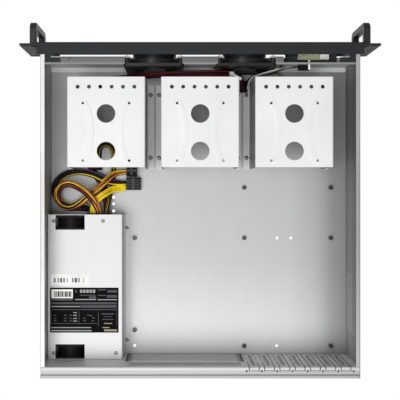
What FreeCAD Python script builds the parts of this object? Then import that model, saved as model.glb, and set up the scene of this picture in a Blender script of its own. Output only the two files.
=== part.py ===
import FreeCAD, Part
import math
import os

os.makedirs("parts", exist_ok=True)
Vec = FreeCAD.Vector

# An empty 2U rackmount server case with its fans, drive cages, power supply and cables.
# Millimetres. X runs across the case, Y from the front panel to the rear, Z up.
# The origin is the middle of the footprint, handles included, on the underside.
# "depth" is a distance behind the plane of the front panel.

# ---- driving dimensions -------------------------------------------------------------

# casing
body_width = 426.0
body_depth = 447.5
body_height = 88.0
sheet = 1.2
fold_radius = 1.0
rim_width = 6.0
rim_start = 16.6
floor_start = 6.0
seat_gap = 0.3

# front panel, ears and handles
panel_sheet = 1.5
panel_flange = 16.2
ear_span = 482.6
ear_sheet = 2.5
ear_showing = 23.3
ear_neck = 12.3
ear_tab_reach = 13.5
rack_hole_margin = 8.74
rack_hole_rise = 76.2
rack_slot_width = 7.0
rack_slot_length = 10.5
handle_reach = 28.5
handle_margin = 17.8
handle_thickness = 9.0
handle_leg_rise = 67.0
handle_screw_radius = 2.0

# front bulkhead
bulkhead_front = 19.1
bulkhead_flange = 9.7
bulkhead_lip = 9.0
bulkhead_foot = 6.5

# 80 mm fans
fan_offset = 62.0
fan_size = 80.0
fan_flange = 4.2
fan_ring_length = 13.8
fan_barrel_length = 6.9
fan_ring_radius = 30.0
fan_barrel_radius = 38.0
fan_bore = 28.6
fan_hub = 17.0
fan_hole_pitch = 71.5
fan_screw_radius = 2.0
fan_blades = 7

# drive cages
cage_pitch = 125.5
cage_front = 45.9
cage_length = 120.5
cage_height = 85.0
drive_width = 101.6
drive_clearance = 0.4
cage_foot = 9.0
cage_bay_rise = 27.0
cage_screw_depths = (14.1, 104.1)
vent_hole_radius = 2.65
vent_hole_pitch = 15.1
vent_hole_inset = 13.3
large_hole_radius = 12.4
large_hole_insets = (49.0, 99.0)
small_drive_width = 61.72
small_drive_length = 76.6
small_drive_inset = 35.2
small_drive_hole = 1.75
rib_chord = 77.0
rib_sagitta = 8.5
rib_mid_offset = 19.3
rib_width = 6.5
rib_rise = 1.2

# motherboard floor
standoff_height = 5.3
standoff_radius = 2.9
standoff_shank_radius = 2.1
standoff_thread_radius = 1.5
standoff_thread_depth = 4.6
standoff_gap = 0.05
board_rear_row = 420.33
board_mid_row = board_rear_row - 154.94
board_length = 227.33
board_front_row = board_rear_row - board_length
board_half_row = board_rear_row - 22.86
board_left_column = -190.0
board_mid_column = board_left_column + 124.46
board_right_column = board_mid_column + 157.48

# rear panel
rear_wall = 432.0
rear_foot = 9.0
rear_lip = 4.0
rear_joggle = 1.2
slot_pitch = 20.32
slot_count = 7
first_slot = -71.7
slot_cover_width = 12.2
slot_cover_foot = 8.0
slot_slit = 0.9
slot_tie = 3.0
slot_notch = 4.5
slot_groove_width = 4.6
slot_groove_depth = 0.5
slot_screw_inset = 5.4
slot_screw_radius = 1.6
aperture_width = 158.75
aperture_height = 44.45
aperture_sill = 7.0
aperture_centre = 20.6
blank_overlap = 2.0
blank_sheet = 0.8

# perforations
vent_pitch = 5.0
vent_across = 3.6
side_vent_start = 315.0
side_vent_length = 80.0
grille_pitch = 6.5
grille_across = 5.2
grille_radius = 36.0

# power supply
supply_width = 104.0
supply_length = 201.0
supply_height = 40.5
supply_sheet = 0.8
supply_fan_size = 39.6
supply_fan_depth = 20.0
supply_fan_centre = 179.5
supply_fan_hub = 10.5
supply_fan_blades = 7
supply_window = 40.6
supply_bracket_foot = 5.0
supply_bracket_rise = 14.0

# front controls
board_width = 42.0
board_centre = -152.0
board_rear = 22.0
shelf_rear = 26.0
board_level = 74.0
board_thickness = 1.6
control_centre = -150.0
control_shelf_width = 70.0
power_button_radius = 6.0
power_button_travel = 1.5
reset_button_radius = 2.2
reset_button_travel = 1.0
light_radius = 1.5

front_y = (handle_reach - body_depth) / 2
half_body = body_width / 2
panel_width = ear_span - 2 * ear_showing
rack_hole_span = ear_span - 2 * rack_hole_margin
handle_centre = ear_span / 2 - handle_margin
inner_wall = half_body - sheet
ear_inner = inner_wall - ear_neck
ear_tab_wide = ear_inner - ear_tab_reach
fan_axis_height = body_height / 2
supply_front = rear_wall - seat_gap - supply_length
supply_right = inner_wall - fold_radius
supply_left = supply_right - supply_width
supply_top = sheet + supply_height


# ---- helpers ------------------------------------------------------------------------

def slab(x0, x1, depth0, depth1, z0, z1):
    """A box between two places across, two depths and two heights, in any order."""
    low_x, high_x = sorted((x0, x1))
    low_d, high_d = sorted((depth0, depth1))
    low_z, high_z = sorted((z0, z1))
    corner = Vec(low_x, front_y + low_d, low_z)
    return Part.makeBox(high_x - low_x, high_d - low_d, high_z - low_z, corner)


def disc_through(radius, x, depth, z, length, direction):
    """A cylinder that starts at a place and runs along a direction."""
    return Part.makeCylinder(radius, length, Vec(x, front_y + depth, z), direction)


def fused(shapes):
    """One solid from touching or overlapping ones."""
    shapes = list(shapes)
    if len(shapes) == 1:
        return shapes[0]
    return shapes[0].fuse(shapes[1:]).removeSplitter()


def cut(shape, tools):
    """The shape less every tool."""
    tools = list(tools)
    return shape.cut(tools) if tools else shape


def mirrored(shape):
    """The shape on the other side of the case."""
    return shape.mirror(Vec(0, 0, 0), Vec(1, 0, 0))


def fold_edges(shape, direction, places, tolerance=0.01):
    """Long edges along a direction ("x" or "y") that pass through the given places."""
    found = []
    for edge in shape.Edges:
        if len(edge.Vertexes) != 2:
            continue
        start, end = (vertex.Point for vertex in edge.Vertexes)
        along = end - start
        if direction == "y":
            straight = abs(along.x) < tolerance and abs(along.z) < tolerance
            here = (start.x, start.z)
        else:
            straight = abs(along.y) < tolerance and abs(along.z) < tolerance
            here = (start.y, start.z)
        if straight and any(math.dist(here, place) < tolerance for place in places):
            found.append(edge)
    return found


def folded(shape, direction, outer_places, inner_places):
    """Rounds a sheet's folds: a larger radius outside, a smaller one inside."""
    shape = shape.makeFillet(fold_radius + sheet, fold_edges(shape, direction, outer_places))
    return shape.makeFillet(fold_radius, fold_edges(shape, direction, inner_places))


def hexagon_through(centre, across, axis, length):
    """A six-sided prism, starting at a centre point and running along X or Y."""
    radius = across / math.sqrt(3)
    corners = []
    for step in range(6):
        angle = math.radians(60 * step + 30)
        first = radius * math.cos(angle)
        second = radius * math.sin(angle)
        offset = Vec(0, first, second) if axis == "x" else Vec(first, 0, second)
        corners.append(centre + offset)
    face = Part.Face(Part.makePolygon(corners + corners[:1]))
    return face.extrude(Vec(length, 0, 0) if axis == "x" else Vec(0, length, 0))


def honeycomb(width, height, pitch):
    """Centres of a staggered hole pattern that fits a rectangle about its middle."""
    rise = pitch * math.sqrt(3) / 2
    rows = int(height / 2 / rise)
    for row in range(-rows, rows + 1):
        shift = pitch / 2 if row % 2 else 0
        reach = int((width / 2 - shift) / pitch)
        for column in range(-reach - (1 if shift else 0), reach + 1):
            across = column * pitch + shift
            if abs(across) <= width / 2:
                yield across, row * rise


def pan_screw(head_radius, head_height, shank_radius, shank_length, place, direction):
    """A pan-head screw: its head stands on the place, its shank runs the other way."""
    head = Part.makeCylinder(head_radius, head_height, place, direction)
    head = head.makeChamfer(head_height * 0.35, [head.Edges[0]])
    back = direction * -1
    shank = Part.makeCylinder(shank_radius, shank_length, place, back)
    slot_depth = head_height * 0.45
    recess = Part.makeCylinder(head_radius * 0.4, slot_depth, place + direction * head_height, back)
    return fused([head, shank]).cut(recess)


def export(shape, node):
    """Writes one piece, or one group of like pieces, to its file."""
    if isinstance(shape, list):
        shape = Part.makeCompound(shape)
    if not shape.isValid():
        raise ValueError(node + " is not a valid solid")
    shape.exportStep("parts/" + node + ".step")


UP = Vec(0, 0, 1)
DOWN = Vec(0, 0, -1)
FORWARD = Vec(0, -1, 0)
REARWARD = Vec(0, 1, 0)
ACROSS = Vec(1, 0, 0)


# ---- chassis tray -------------------------------------------------------------------

lid_screw_depths = (58.0, 133.8, 308.0, 404.0)
lid_screw_radius = 1.5
lid_screw_drop = 8.0
side_vent_margin = 8.0
tie_hole_radius = 2.2
tie_hole_places = ((122.4, 206.7), (122.4, 216.2), (122.4, 226.4))
board_hole_radius = 2.2
board_hole_places = ((board_right_column, board_rear_row), (-113.0, 265.5),
                     (-133.0, 265.5), (-112.6, 420.6))


def standoff_places():
    yield board_mid_column, board_front_row
    yield board_left_column, board_front_row
    for column in (board_left_column, board_mid_column, board_right_column):
        yield column, board_mid_row
    yield board_mid_column, board_rear_row
    yield board_left_column, board_rear_row
    yield board_right_column, board_half_row


def make_chassis_tray():
    top = body_height
    inner_rim = half_body - rim_width
    inner_rim_bottom = top - sheet - fold_radius
    outline = [Vec(-inner_rim, 0, top), Vec(-half_body, 0, top), Vec(-half_body, 0, 0),
               Vec(half_body, 0, 0), Vec(half_body, 0, top), Vec(inner_rim, 0, top),
               Vec(inner_rim, 0, top - sheet), Vec(inner_wall, 0, top - sheet),
               Vec(inner_wall, 0, sheet), Vec(-inner_wall, 0, sheet),
               Vec(-inner_wall, 0, top - sheet), Vec(-inner_rim, 0, top - sheet)]
    face = Part.Face(Part.makePolygon(outline + outline[:1]))
    face.translate(Vec(0, front_y + rim_start, 0))
    tray = face.extrude(Vec(0, body_depth - rim_start, 0))
    outer = [(side * half_body, z) for side in (-1, 1) for z in (0, top)]
    inner = [(side * inner_wall, z) for side in (-1, 1) for z in (sheet, top - sheet)]
    tray = folded(tray, "y", outer, inner)
    tongue_edge = inner_wall - fold_radius
    tray = fused([tray, slab(-tongue_edge, tongue_edge, floor_start, rim_start, 0, sheet)])

    holes = []
    for side in (-1, 1):
        holes.append(slab(side * inner_rim, side * inner_wall, rear_wall - rear_edge_gap, body_depth,
                          inner_rim_bottom, top))
    for x, depth in standoff_places():
        holes.append(disc_through(standoff_shank_radius + standoff_gap, x, depth, 0, sheet, UP))
    for x, depth in tie_hole_places:
        holes.append(disc_through(tie_hole_radius, x, depth, 0, sheet, UP))
    for x, depth in board_hole_places:
        holes.append(disc_through(board_hole_radius, x, depth, 0, sheet, UP))
    for side in (-1, 1):
        for depth in lid_screw_depths:
            height = body_height - lid_screw_drop
            holes.append(disc_through(lid_screw_radius, side * half_body, depth, height, sheet,
                                      ACROSS * -side))
    for centre in cage_centres():
        for x, depth in cage_screw_places(centre):
            holes.append(disc_through(floor_screw_hole, x, depth, 0, sheet, UP))
    for depth in supply_bracket_depths():
        holes.append(disc_through(floor_screw_hole, bracket_screw_x(), depth, 0, sheet, UP))
    vent_height = body_height - 2 * side_vent_margin
    vent_middle = side_vent_start + side_vent_length / 2
    for along, rise in honeycomb(side_vent_length, vent_height, vent_pitch):
        centre = Vec(-half_body, front_y + vent_middle + along, body_height / 2 + rise)
        holes.append(hexagon_through(centre, vent_across, "x", sheet))
    return cut(tray, holes)


def make_board_standoffs():
    """Round posts pressed into the floor, each with a blind thread from the top."""
    posts = []
    for x, depth in standoff_places():
        post = disc_through(standoff_radius, x, depth, sheet, standoff_height, UP)
        post = post.makeChamfer(0.3, [post.Edges[0]])
        shank = disc_through(standoff_shank_radius, x, depth, 0, sheet, UP)
        top = sheet + standoff_height
        thread = disc_through(standoff_thread_radius, x, depth, top, standoff_thread_depth, DOWN)
        posts.append(fused([post, shank]).cut(thread))
    return posts


# ---- rear panel ---------------------------------------------------------------------

supply_opening_margin = 4.0
rear_vent_sill = 58.0
rear_vent_height = 20.0
rear_edge_gap = 0.2


def corner_reliefs(depth0, depth1):
    """Clears the tray's inside folds at the two bottom corners of an upright sheet."""
    for side in (-1, 1):
        yield slab(side * (inner_wall - fold_radius), side * inner_wall, depth0, depth1,
                   sheet, sheet + fold_radius)


def slot_centres():
    for index in range(slot_count):
        yield first_slot - slot_pitch * index


def knock_out_slits(centre):
    """The narrow cuts round one slot cover, with the ties that hold it."""
    half = slot_cover_width / 2
    outer = half + slot_slit
    behind = rear_wall + sheet
    flange_end = rear_wall + slot_notch
    top = body_height
    cuts = []
    tie_heights = (slot_cover_foot + 22.0, slot_cover_foot + 52.0)
    for side in (-1, 1):
        inside = centre + side * half
        outside = centre + side * outer
        level = slot_cover_foot
        for tie in tie_heights:
            cuts.append(slab(inside, outside, rear_wall, behind, level, tie))
            level = tie + slot_tie
        cuts.append(slab(inside, outside, rear_wall, flange_end, level, top))
    cuts.append(slab(centre - outer, centre + outer, flange_end, flange_end + slot_slit,
                     top - sheet, top))
    cuts.append(slab(centre - half, centre + half, rear_wall, behind, slot_cover_foot,
                     slot_cover_foot + slot_slit))
    half_groove = slot_groove_width / 2
    cuts.append(slab(centre - half_groove, centre + half_groove, rear_wall,
                     rear_wall + slot_groove_depth, slot_cover_foot + 6.0, top - 10.0))
    return cuts


def make_rear_panel():
    reach = inner_wall - rear_edge_gap
    top = body_height
    behind = rear_wall + sheet
    foot_end = behind + rear_foot
    step = body_depth - rear_lip
    outline = [(rear_wall, sheet), (foot_end, sheet), (foot_end, 2 * sheet), (behind, 2 * sheet),
               (behind, top - sheet), (step - sheet, top - sheet),
               (step - sheet, top - sheet - rear_joggle), (body_depth, top - sheet - rear_joggle),
               (body_depth, top - rear_joggle), (step, top - rear_joggle), (step, top),
               (rear_wall, top)]
    corners = [Vec(-reach, front_y + depth, z) for depth, z in outline]
    panel = Part.Face(Part.makePolygon(corners + corners[:1])).extrude(Vec(2 * reach, 0, 0))
    panel = folded(panel, "x",
                   [(front_y + rear_wall, sheet), (front_y + rear_wall, top)],
                   [(front_y + behind, 2 * sheet), (front_y + behind, top - sheet)])

    cuts = list(corner_reliefs(rear_wall, foot_end))
    for centre in slot_centres():
        cuts.extend(knock_out_slits(centre))
    screw_row = rear_wall + slot_screw_inset
    for index in range(slot_count + 1):
        x = first_slot + slot_pitch / 2 - slot_pitch * index
        cuts.append(disc_through(slot_screw_radius, x, screw_row, top - sheet, sheet, UP))
    half_aperture = aperture_width / 2
    cuts.append(slab(aperture_centre - half_aperture, aperture_centre + half_aperture,
                     rear_wall, behind, aperture_sill, aperture_sill + aperture_height))
    cuts.append(slab(supply_left + supply_opening_margin, supply_right - supply_opening_margin,
                     rear_wall, behind, sheet + supply_opening_margin,
                     supply_top - supply_opening_margin))
    for across, rise in honeycomb(aperture_width - 6.0, rear_vent_height, vent_pitch):
        centre = Vec(aperture_centre + across, front_y + rear_wall,
                     rear_vent_sill + rear_vent_height / 2 + rise)
        cuts.append(hexagon_through(centre, vent_across, "y", sheet))
    for x, z in supply_screw_places():
        cuts.append(disc_through(supply_screw_radius, x, rear_wall, z, sheet, REARWARD))
    return cut(panel, cuts)


def make_aperture_blank():
    """The plate that closes the motherboard's opening, seated inside the rear panel."""
    half_width = aperture_width / 2 + blank_overlap
    plate = slab(aperture_centre - half_width, aperture_centre + half_width,
                 rear_wall - blank_sheet, rear_wall,
                 aperture_sill - blank_overlap, aperture_sill + aperture_height + blank_overlap)
    boss_half_width = aperture_width / 2 - seat_gap
    boss = slab(aperture_centre - boss_half_width, aperture_centre + boss_half_width,
                rear_wall, rear_wall + sheet / 2,
                aperture_sill + seat_gap, aperture_sill + aperture_height - seat_gap)
    hole = disc_through(3.0, aperture_centre + aperture_width / 4, rear_wall - blank_sheet,
                        aperture_sill + aperture_height * 0.68, blank_sheet + sheet, REARWARD)
    return fused([plate, boss]).cut(hole)


# ---- front bulkhead -----------------------------------------------------------------

fan_notch_gap = 0.5
fan_cut_out = 76.4
flange_hole_radius = 1.6
flange_hole_x = 174.4
flange_hole_inset = 3.8
control_notch_side = 111.0


def fan_centres():
    return (-fan_offset, fan_offset)


def fan_hole_places(centre):
    half = fan_hole_pitch / 2
    for side in (-1, 1):
        for rise in (-1, 1):
            yield centre + side * half, fan_axis_height + rise * half


def make_front_bulkhead():
    reach = inner_wall - rear_edge_gap
    top = body_height
    behind = bulkhead_front + sheet
    flange_end = bulkhead_front + bulkhead_flange
    lip_bottom = top - bulkhead_lip
    foot_end = behind + bulkhead_foot
    outline = [(bulkhead_front, sheet), (foot_end, sheet), (foot_end, 2 * sheet),
               (behind, 2 * sheet), (behind, top - sheet), (flange_end - sheet, top - sheet),
               (flange_end - sheet, lip_bottom), (flange_end, lip_bottom), (flange_end, top),
               (bulkhead_front, top)]
    corners = [Vec(-reach, front_y + depth, z) for depth, z in outline]
    bulkhead = Part.Face(Part.makePolygon(corners + corners[:1])).extrude(Vec(2 * reach, 0, 0))
    bulkhead = folded(bulkhead, "x",
                      [(front_y + bulkhead_front, sheet), (front_y + bulkhead_front, top),
                       (front_y + flange_end, top)],
                      [(front_y + behind, 2 * sheet), (front_y + behind, top - sheet)])
    rim_notch = half_body - rim_width - rear_edge_gap
    cuts = list(corner_reliefs(bulkhead_front, foot_end))
    for side in (-1, 1):
        cuts.append(slab(side * rim_notch, side * half_body, bulkhead_front, flange_end,
                         top - sheet - rear_edge_gap, top))
        cuts.append(slab(side * (inner_wall - fold_radius), side * half_body, bulkhead_front,
                         flange_end, top - sheet - fold_radius - rear_edge_gap, top))
        tab_edge = ear_tab_wide - fan_notch_gap
        cuts.append(slab(side * tab_edge, side * half_body, bulkhead_front,
                         flange_end - sheet - fan_notch_gap, tab_bottom - seat_gap, top))
    for centre in fan_centres():
        ring_gap = fan_ring_radius + fan_notch_gap
        cuts.append(disc_through(ring_gap, centre, bulkhead_front, fan_axis_height, sheet, REARWARD))
        cuts.append(slab(centre - ring_gap, centre + ring_gap, bulkhead_front, behind,
                         fan_axis_height, top))
        half_cut = fan_cut_out / 2
        cuts.append(slab(centre - half_cut, centre + half_cut, bulkhead_front, flange_end,
                         top - sheet, top))
        half_fan = fan_size / 2 + fan_notch_gap
        cuts.append(slab(centre - half_fan, centre + half_fan, behind, flange_end,
                         lip_bottom, top - sheet))
        cuts.append(slab(centre - half_fan, centre + half_fan, behind, foot_end,
                         sheet, 2 * sheet + fan_notch_gap))
        for x, z in fan_hole_places(centre):
            cuts.append(disc_through(fan_screw_radius, x, bulkhead_front, z, sheet, REARWARD))
    cuts.append(disc_through(flange_hole_radius, flange_hole_x, bulkhead_front + flange_hole_inset,
                             top - sheet, sheet, UP))
    shelf_left = control_centre - control_shelf_width / 2 - fan_notch_gap
    cuts.append(slab(-control_notch_side, shelf_left - 4.0, bulkhead_front,
                     flange_end - sheet - fan_notch_gap, control_shelf_level - sheet - 2.0, top))
    return cut(bulkhead, cuts)


# ---- front panel, ears and handles --------------------------------------------------

tab_thickness = ear_sheet
tab_top = body_height - panel_sheet - 0.1
tab_bottom = tab_top - tab_thickness


def make_front_panel():
    half = panel_width / 2
    top = body_height
    outline = [(0, 0), (panel_sheet, 0), (panel_sheet, top - panel_sheet),
               (panel_flange, top - panel_sheet), (panel_flange, top), (0, top)]
    corners = [Vec(-half, front_y + depth, z) for depth, z in outline]
    panel = Part.Face(Part.makePolygon(corners + corners[:1])).extrude(Vec(2 * half, 0, 0))
    panel = panel.makeFillet(panel_sheet, fold_edges(panel, "x", [(front_y, top)]))
    cuts = []
    for centre in fan_centres():
        for across, rise in honeycomb(2 * grille_radius, 2 * grille_radius, grille_pitch):
            if math.hypot(across, rise) <= grille_radius:
                place = Vec(centre + across, front_y, fan_axis_height + rise)
                cuts.append(hexagon_through(place, grille_across, "y", panel_sheet))
    cuts.append(disc_through(power_button_radius + button_gap, power_button_x, 0, button_level,
                             panel_sheet, REARWARD))
    cuts.append(disc_through(reset_button_radius + button_gap, reset_button_x, 0, button_level,
                             panel_sheet, REARWARD))
    for x in light_places():
        cuts.append(disc_through(light_radius + 0.1, x, 0, light_level, panel_sheet, REARWARD))
    for x in usb_places():
        cuts.append(slab(x - usb_width / 2 - seat_gap, x + usb_width / 2 + seat_gap, 0, panel_sheet,
                         usb_bottom - seat_gap, usb_bottom + usb_height + seat_gap))
    return cut(panel, cuts)


def make_ear_bracket():
    """The right-hand ear: rack plate behind the panel, with a tab back to the bulkhead."""
    back = panel_sheet + ear_sheet
    outer = ear_span / 2
    edge = 0.5
    plate = slab(ear_inner, outer, panel_sheet, back, edge, tab_top)
    corners = [corner for corner in plate.Edges
               if abs(corner.Vertexes[0].X - outer) < 0.01 and abs(corner.Vertexes[1].X - outer) < 0.01
               and abs(corner.Vertexes[0].Y - corner.Vertexes[1].Y) > 1]
    plate = plate.makeFillet(2.5, corners)
    tab_end = bulkhead_front + bulkhead_flange - sheet - 2 * fan_notch_gap
    neck = slab(ear_inner, inner_wall - 5.0, back, tab_end, tab_bottom, tab_top)
    wide = slab(ear_tab_wide, inner_wall - 5.0, bulkhead_front + sheet, tab_end, tab_bottom, tab_top)
    ear = fused([plate, neck, wide])
    cuts = []
    for rise in (-1, 1):
        z = body_height / 2 + rise * rack_hole_rise / 2
        x = rack_hole_span / 2
        straight = (rack_slot_length - rack_slot_width) / 2
        radius = rack_slot_width / 2
        for side in (-1, 1):
            cuts.append(disc_through(radius, x + side * straight, panel_sheet, z, ear_sheet, REARWARD))
        cuts.append(slab(x - straight, x + straight, panel_sheet, back, z - radius, z + radius))
        z = body_height / 2 + rise * handle_leg_rise / 2
        cuts.append(disc_through(handle_screw_radius + 0.1, handle_centre, panel_sheet, z, ear_sheet,
                                 REARWARD))
    return cut(ear, cuts)


def make_handle():
    """The right-hand bow handle, with a tapped hole up each leg."""
    half = handle_thickness / 2
    leg = handle_leg_rise / 2
    middle = body_height / 2
    outer = slab(handle_centre - half, handle_centre + half, -handle_reach, panel_sheet,
                 middle - leg - half, middle + leg + half)
    corner_edges = [edge for edge in outer.Edges
                    if abs(edge.Vertexes[0].Y - (front_y - handle_reach)) < 0.01
                    and abs(edge.Vertexes[1].Y - (front_y - handle_reach)) < 0.01
                    and abs(edge.Vertexes[0].X - edge.Vertexes[1].X) > 1]
    outer = outer.makeFillet(9.0, corner_edges)
    inner = slab(handle_centre - half, handle_centre + half, handle_thickness - handle_reach,
                 panel_sheet, middle - leg + half, middle + leg - half)
    grip = outer.cut(inner)
    long_edges = [edge for edge in grip.Edges
                  if abs(edge.BoundBox.YMin - (front_y - handle_reach)) < 0.01
                  and edge.BoundBox.YLength < 0.01 and edge.BoundBox.XLength < 0.01]
    if long_edges:
        grip = grip.makeChamfer(1.2, long_edges)
    cuts = []
    for rise in (-1, 1):
        z = middle + rise * leg
        cuts.append(disc_through(handle_screw_radius, handle_centre, panel_sheet, z, 10.0, FORWARD))
    return cut(grip, cuts)


def make_handle_screws(side):
    screws = []
    back = panel_sheet + ear_sheet
    for rise in (-1, 1):
        z = body_height / 2 + rise * handle_leg_rise / 2
        place = Vec(side * handle_centre, front_y + back, z)
        screws.append(pan_screw(3.5, 2.2, handle_screw_radius - 0.05, ear_sheet + 8.0, place, REARWARD))
    return screws


# ---- fans ---------------------------------------------------------------------------

shaft_radius = 1.5
shaft_clearance = 0.05
tip_gap = 0.8
strut_depth = 3.0
rotor_gap = 0.8


def make_rotor(centre, axis_z, hub_radius, bore, front, rear, blades):
    """Hub cup, shaft and blades, between a front and a rear depth."""
    wall = 1.6
    place = Vec(centre, front_y + front, axis_z)
    length = rear - front
    cup = Part.makeCylinder(hub_radius, length, place, REARWARD)
    cup = cup.makeFillet(wall, [cup.Edges[2]])
    hollow = Part.makeCylinder(hub_radius - wall, length - wall, place + REARWARD * wall, REARWARD)
    shaft = Part.makeCylinder(shaft_radius, length - 1.0, place, REARWARD)
    tip = bore - tip_gap
    pieces = [cup.cut(hollow), shaft]
    chord = 2 * math.pi * hub_radius / blades * 0.95
    for index in range(blades):
        blade = Part.makeBox(chord, 1.4, tip - hub_radius + wall / 2 + 2.0,
                             Vec(-chord / 2, -0.7, hub_radius - wall / 2))
        blade.rotate(Vec(0, 0, 0), Vec(0, 0, 1), 38.0)
        blade.rotate(Vec(0, 0, 0), Vec(0, 1, 0), 360.0 / blades * index)
        blade.translate(Vec(centre, front_y + front + length / 2, axis_z))
        pieces.append(blade)
    swept = Part.makeCylinder(tip, length, place, REARWARD)
    inner_space = Part.makeCylinder(hub_radius - wall, length, place, REARWARD)
    trimmed = [piece.common(swept).cut(inner_space) for piece in pieces[2:]]
    return fused(pieces[:2] + trimmed)


def motor_mount(centre, axis_z, hub_radius, reach, rear, front):
    """The plate behind the hub, its bearing tube and the struts out to the frame."""
    plate_front = rear - strut_depth
    plate = disc_through(hub_radius - 1.0, centre, plate_front, axis_z, strut_depth, REARWARD)
    tube = disc_through(shaft_radius + 2.0, centre, front, axis_z, plate_front - front, REARWARD)
    arms = []
    for index in range(4):
        arm = Part.makeBox(reach, strut_depth, 4.0, Vec(0, 0, -2.0))
        arm.rotate(Vec(0, 0, 0), Vec(0, 1, 0), 45.0 + 90.0 * index)
        arm.translate(Vec(centre, front_y + plate_front, axis_z))
        arms.append(arm)
    bearing = disc_through(shaft_radius + shaft_clearance, centre, front, axis_z,
                           rear - front - 1.0, REARWARD)
    return fused([plate, tube] + arms), bearing


def rounded_square(centre, axis_z, size, front, depth, radius):
    half = size / 2
    square = slab(centre - half, centre + half, front, front + depth, axis_z - half, axis_z + half)
    edges = [edge for edge in square.Edges
             if abs(edge.Vertexes[0].Y - edge.Vertexes[1].Y) > depth / 2]
    return square.makeFillet(radius, edges)


def make_fan_frame(centre):
    """An 80 mm frame: slim ring in front, wider barrel, and a square flange behind."""
    axis_z = fan_axis_height
    shoulder = bulkhead_front + sheet
    front = shoulder - fan_ring_length
    flange_front = shoulder + fan_barrel_length
    rear = flange_front + fan_flange
    ring = disc_through(fan_ring_radius, centre, front, axis_z, fan_ring_length, REARWARD)
    barrel = disc_through(fan_barrel_radius, centre, shoulder, axis_z, fan_barrel_length, REARWARD)
    flange = rounded_square(centre, axis_z, fan_size, flange_front, fan_flange, 4.0)
    posts = [disc_through(4.0, x, shoulder, z, fan_barrel_length, REARWARD)
             for x, z in fan_hole_places(centre)]
    body = fused([ring, barrel, flange] + posts)
    bore = disc_through(fan_bore, centre, front, axis_z, rear - front, REARWARD)
    mouth_radius = fan_barrel_radius - 1.6
    mouth = Part.makeCone(fan_bore, mouth_radius, fan_barrel_length + fan_flange,
                          Vec(centre, front_y + shoulder, axis_z), REARWARD)
    body = cut(body, [bore, mouth])
    mount, bearing = motor_mount(centre, axis_z, fan_hub, mouth_radius + 1.0, rear, front + 6.0)
    body = fused([body, mount])
    holes = [bearing]
    for x, z in fan_hole_places(centre):
        holes.append(disc_through(fan_screw_radius, x, shoulder, z, rear - shoulder, REARWARD))
    return cut(body, holes)


def make_fan_rotor(centre):
    shoulder = bulkhead_front + sheet
    front = shoulder - fan_ring_length + 1.5
    rear = shoulder + fan_barrel_length + fan_flange - strut_depth - rotor_gap
    return make_rotor(centre, fan_axis_height, fan_hub, fan_bore, front, rear, fan_blades)


def make_fan_screws():
    screws = []
    for centre in fan_centres():
        for x, z in fan_hole_places(centre):
            place = Vec(x, front_y + bulkhead_front, z)
            screws.append(pan_screw(3.4, 2.0, fan_screw_radius - 0.05, sheet + 8.0, place, FORWARD))
    return screws


# ---- drive cages --------------------------------------------------------------------

floor_screw_hole = 1.6
floor_screw_radius = 1.5
drive_hole_radius = 1.9
drive_hole_insets = (28.5, 88.5)
drive_hole_rise = 6.35


def cage_centres():
    return (-cage_pitch, 0.0, cage_pitch)


def cage_half_width():
    return drive_width / 2 + drive_clearance / 2 + sheet


def cage_screw_places(centre):
    for side in (-1, 1):
        x = centre + side * (cage_half_width() + cage_foot / 2)
        for inset in cage_screw_depths:
            yield x, cage_front + inset


def arched_rib(centre, side, z, thickness, width):
    """A curved pressing that bows towards the middle of the plate."""
    radius = (rib_chord ** 2 / 4 + rib_sagitta ** 2) / (2 * rib_sagitta)
    pivot_x = centre + side * (rib_mid_offset + radius)
    pivot = Vec(pivot_x, front_y + cage_front + small_drive_inset + small_drive_length / 2, z)
    half_angle = math.degrees(math.asin(rib_chord / 2 / radius))
    outer = Part.makeCylinder(radius + width / 2, thickness, pivot)
    inner = Part.makeCylinder(radius - width / 2, thickness, pivot)
    band = outer.cut(inner)
    wedge = Part.makeCylinder(radius + width, thickness, pivot, UP, 2 * half_angle)
    start = 180.0 - half_angle if side > 0 else -half_angle
    wedge.rotate(pivot, UP, start)
    ends = []
    for turn in (-half_angle, half_angle):
        angle = math.radians((180.0 if side > 0 else 0.0) + turn)
        end = pivot + Vec(radius * math.cos(angle), radius * math.sin(angle), 0)
        ends.append(Part.makeCylinder(width / 2, thickness, end))
    return fused([band.common(wedge)] + ends)


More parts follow.
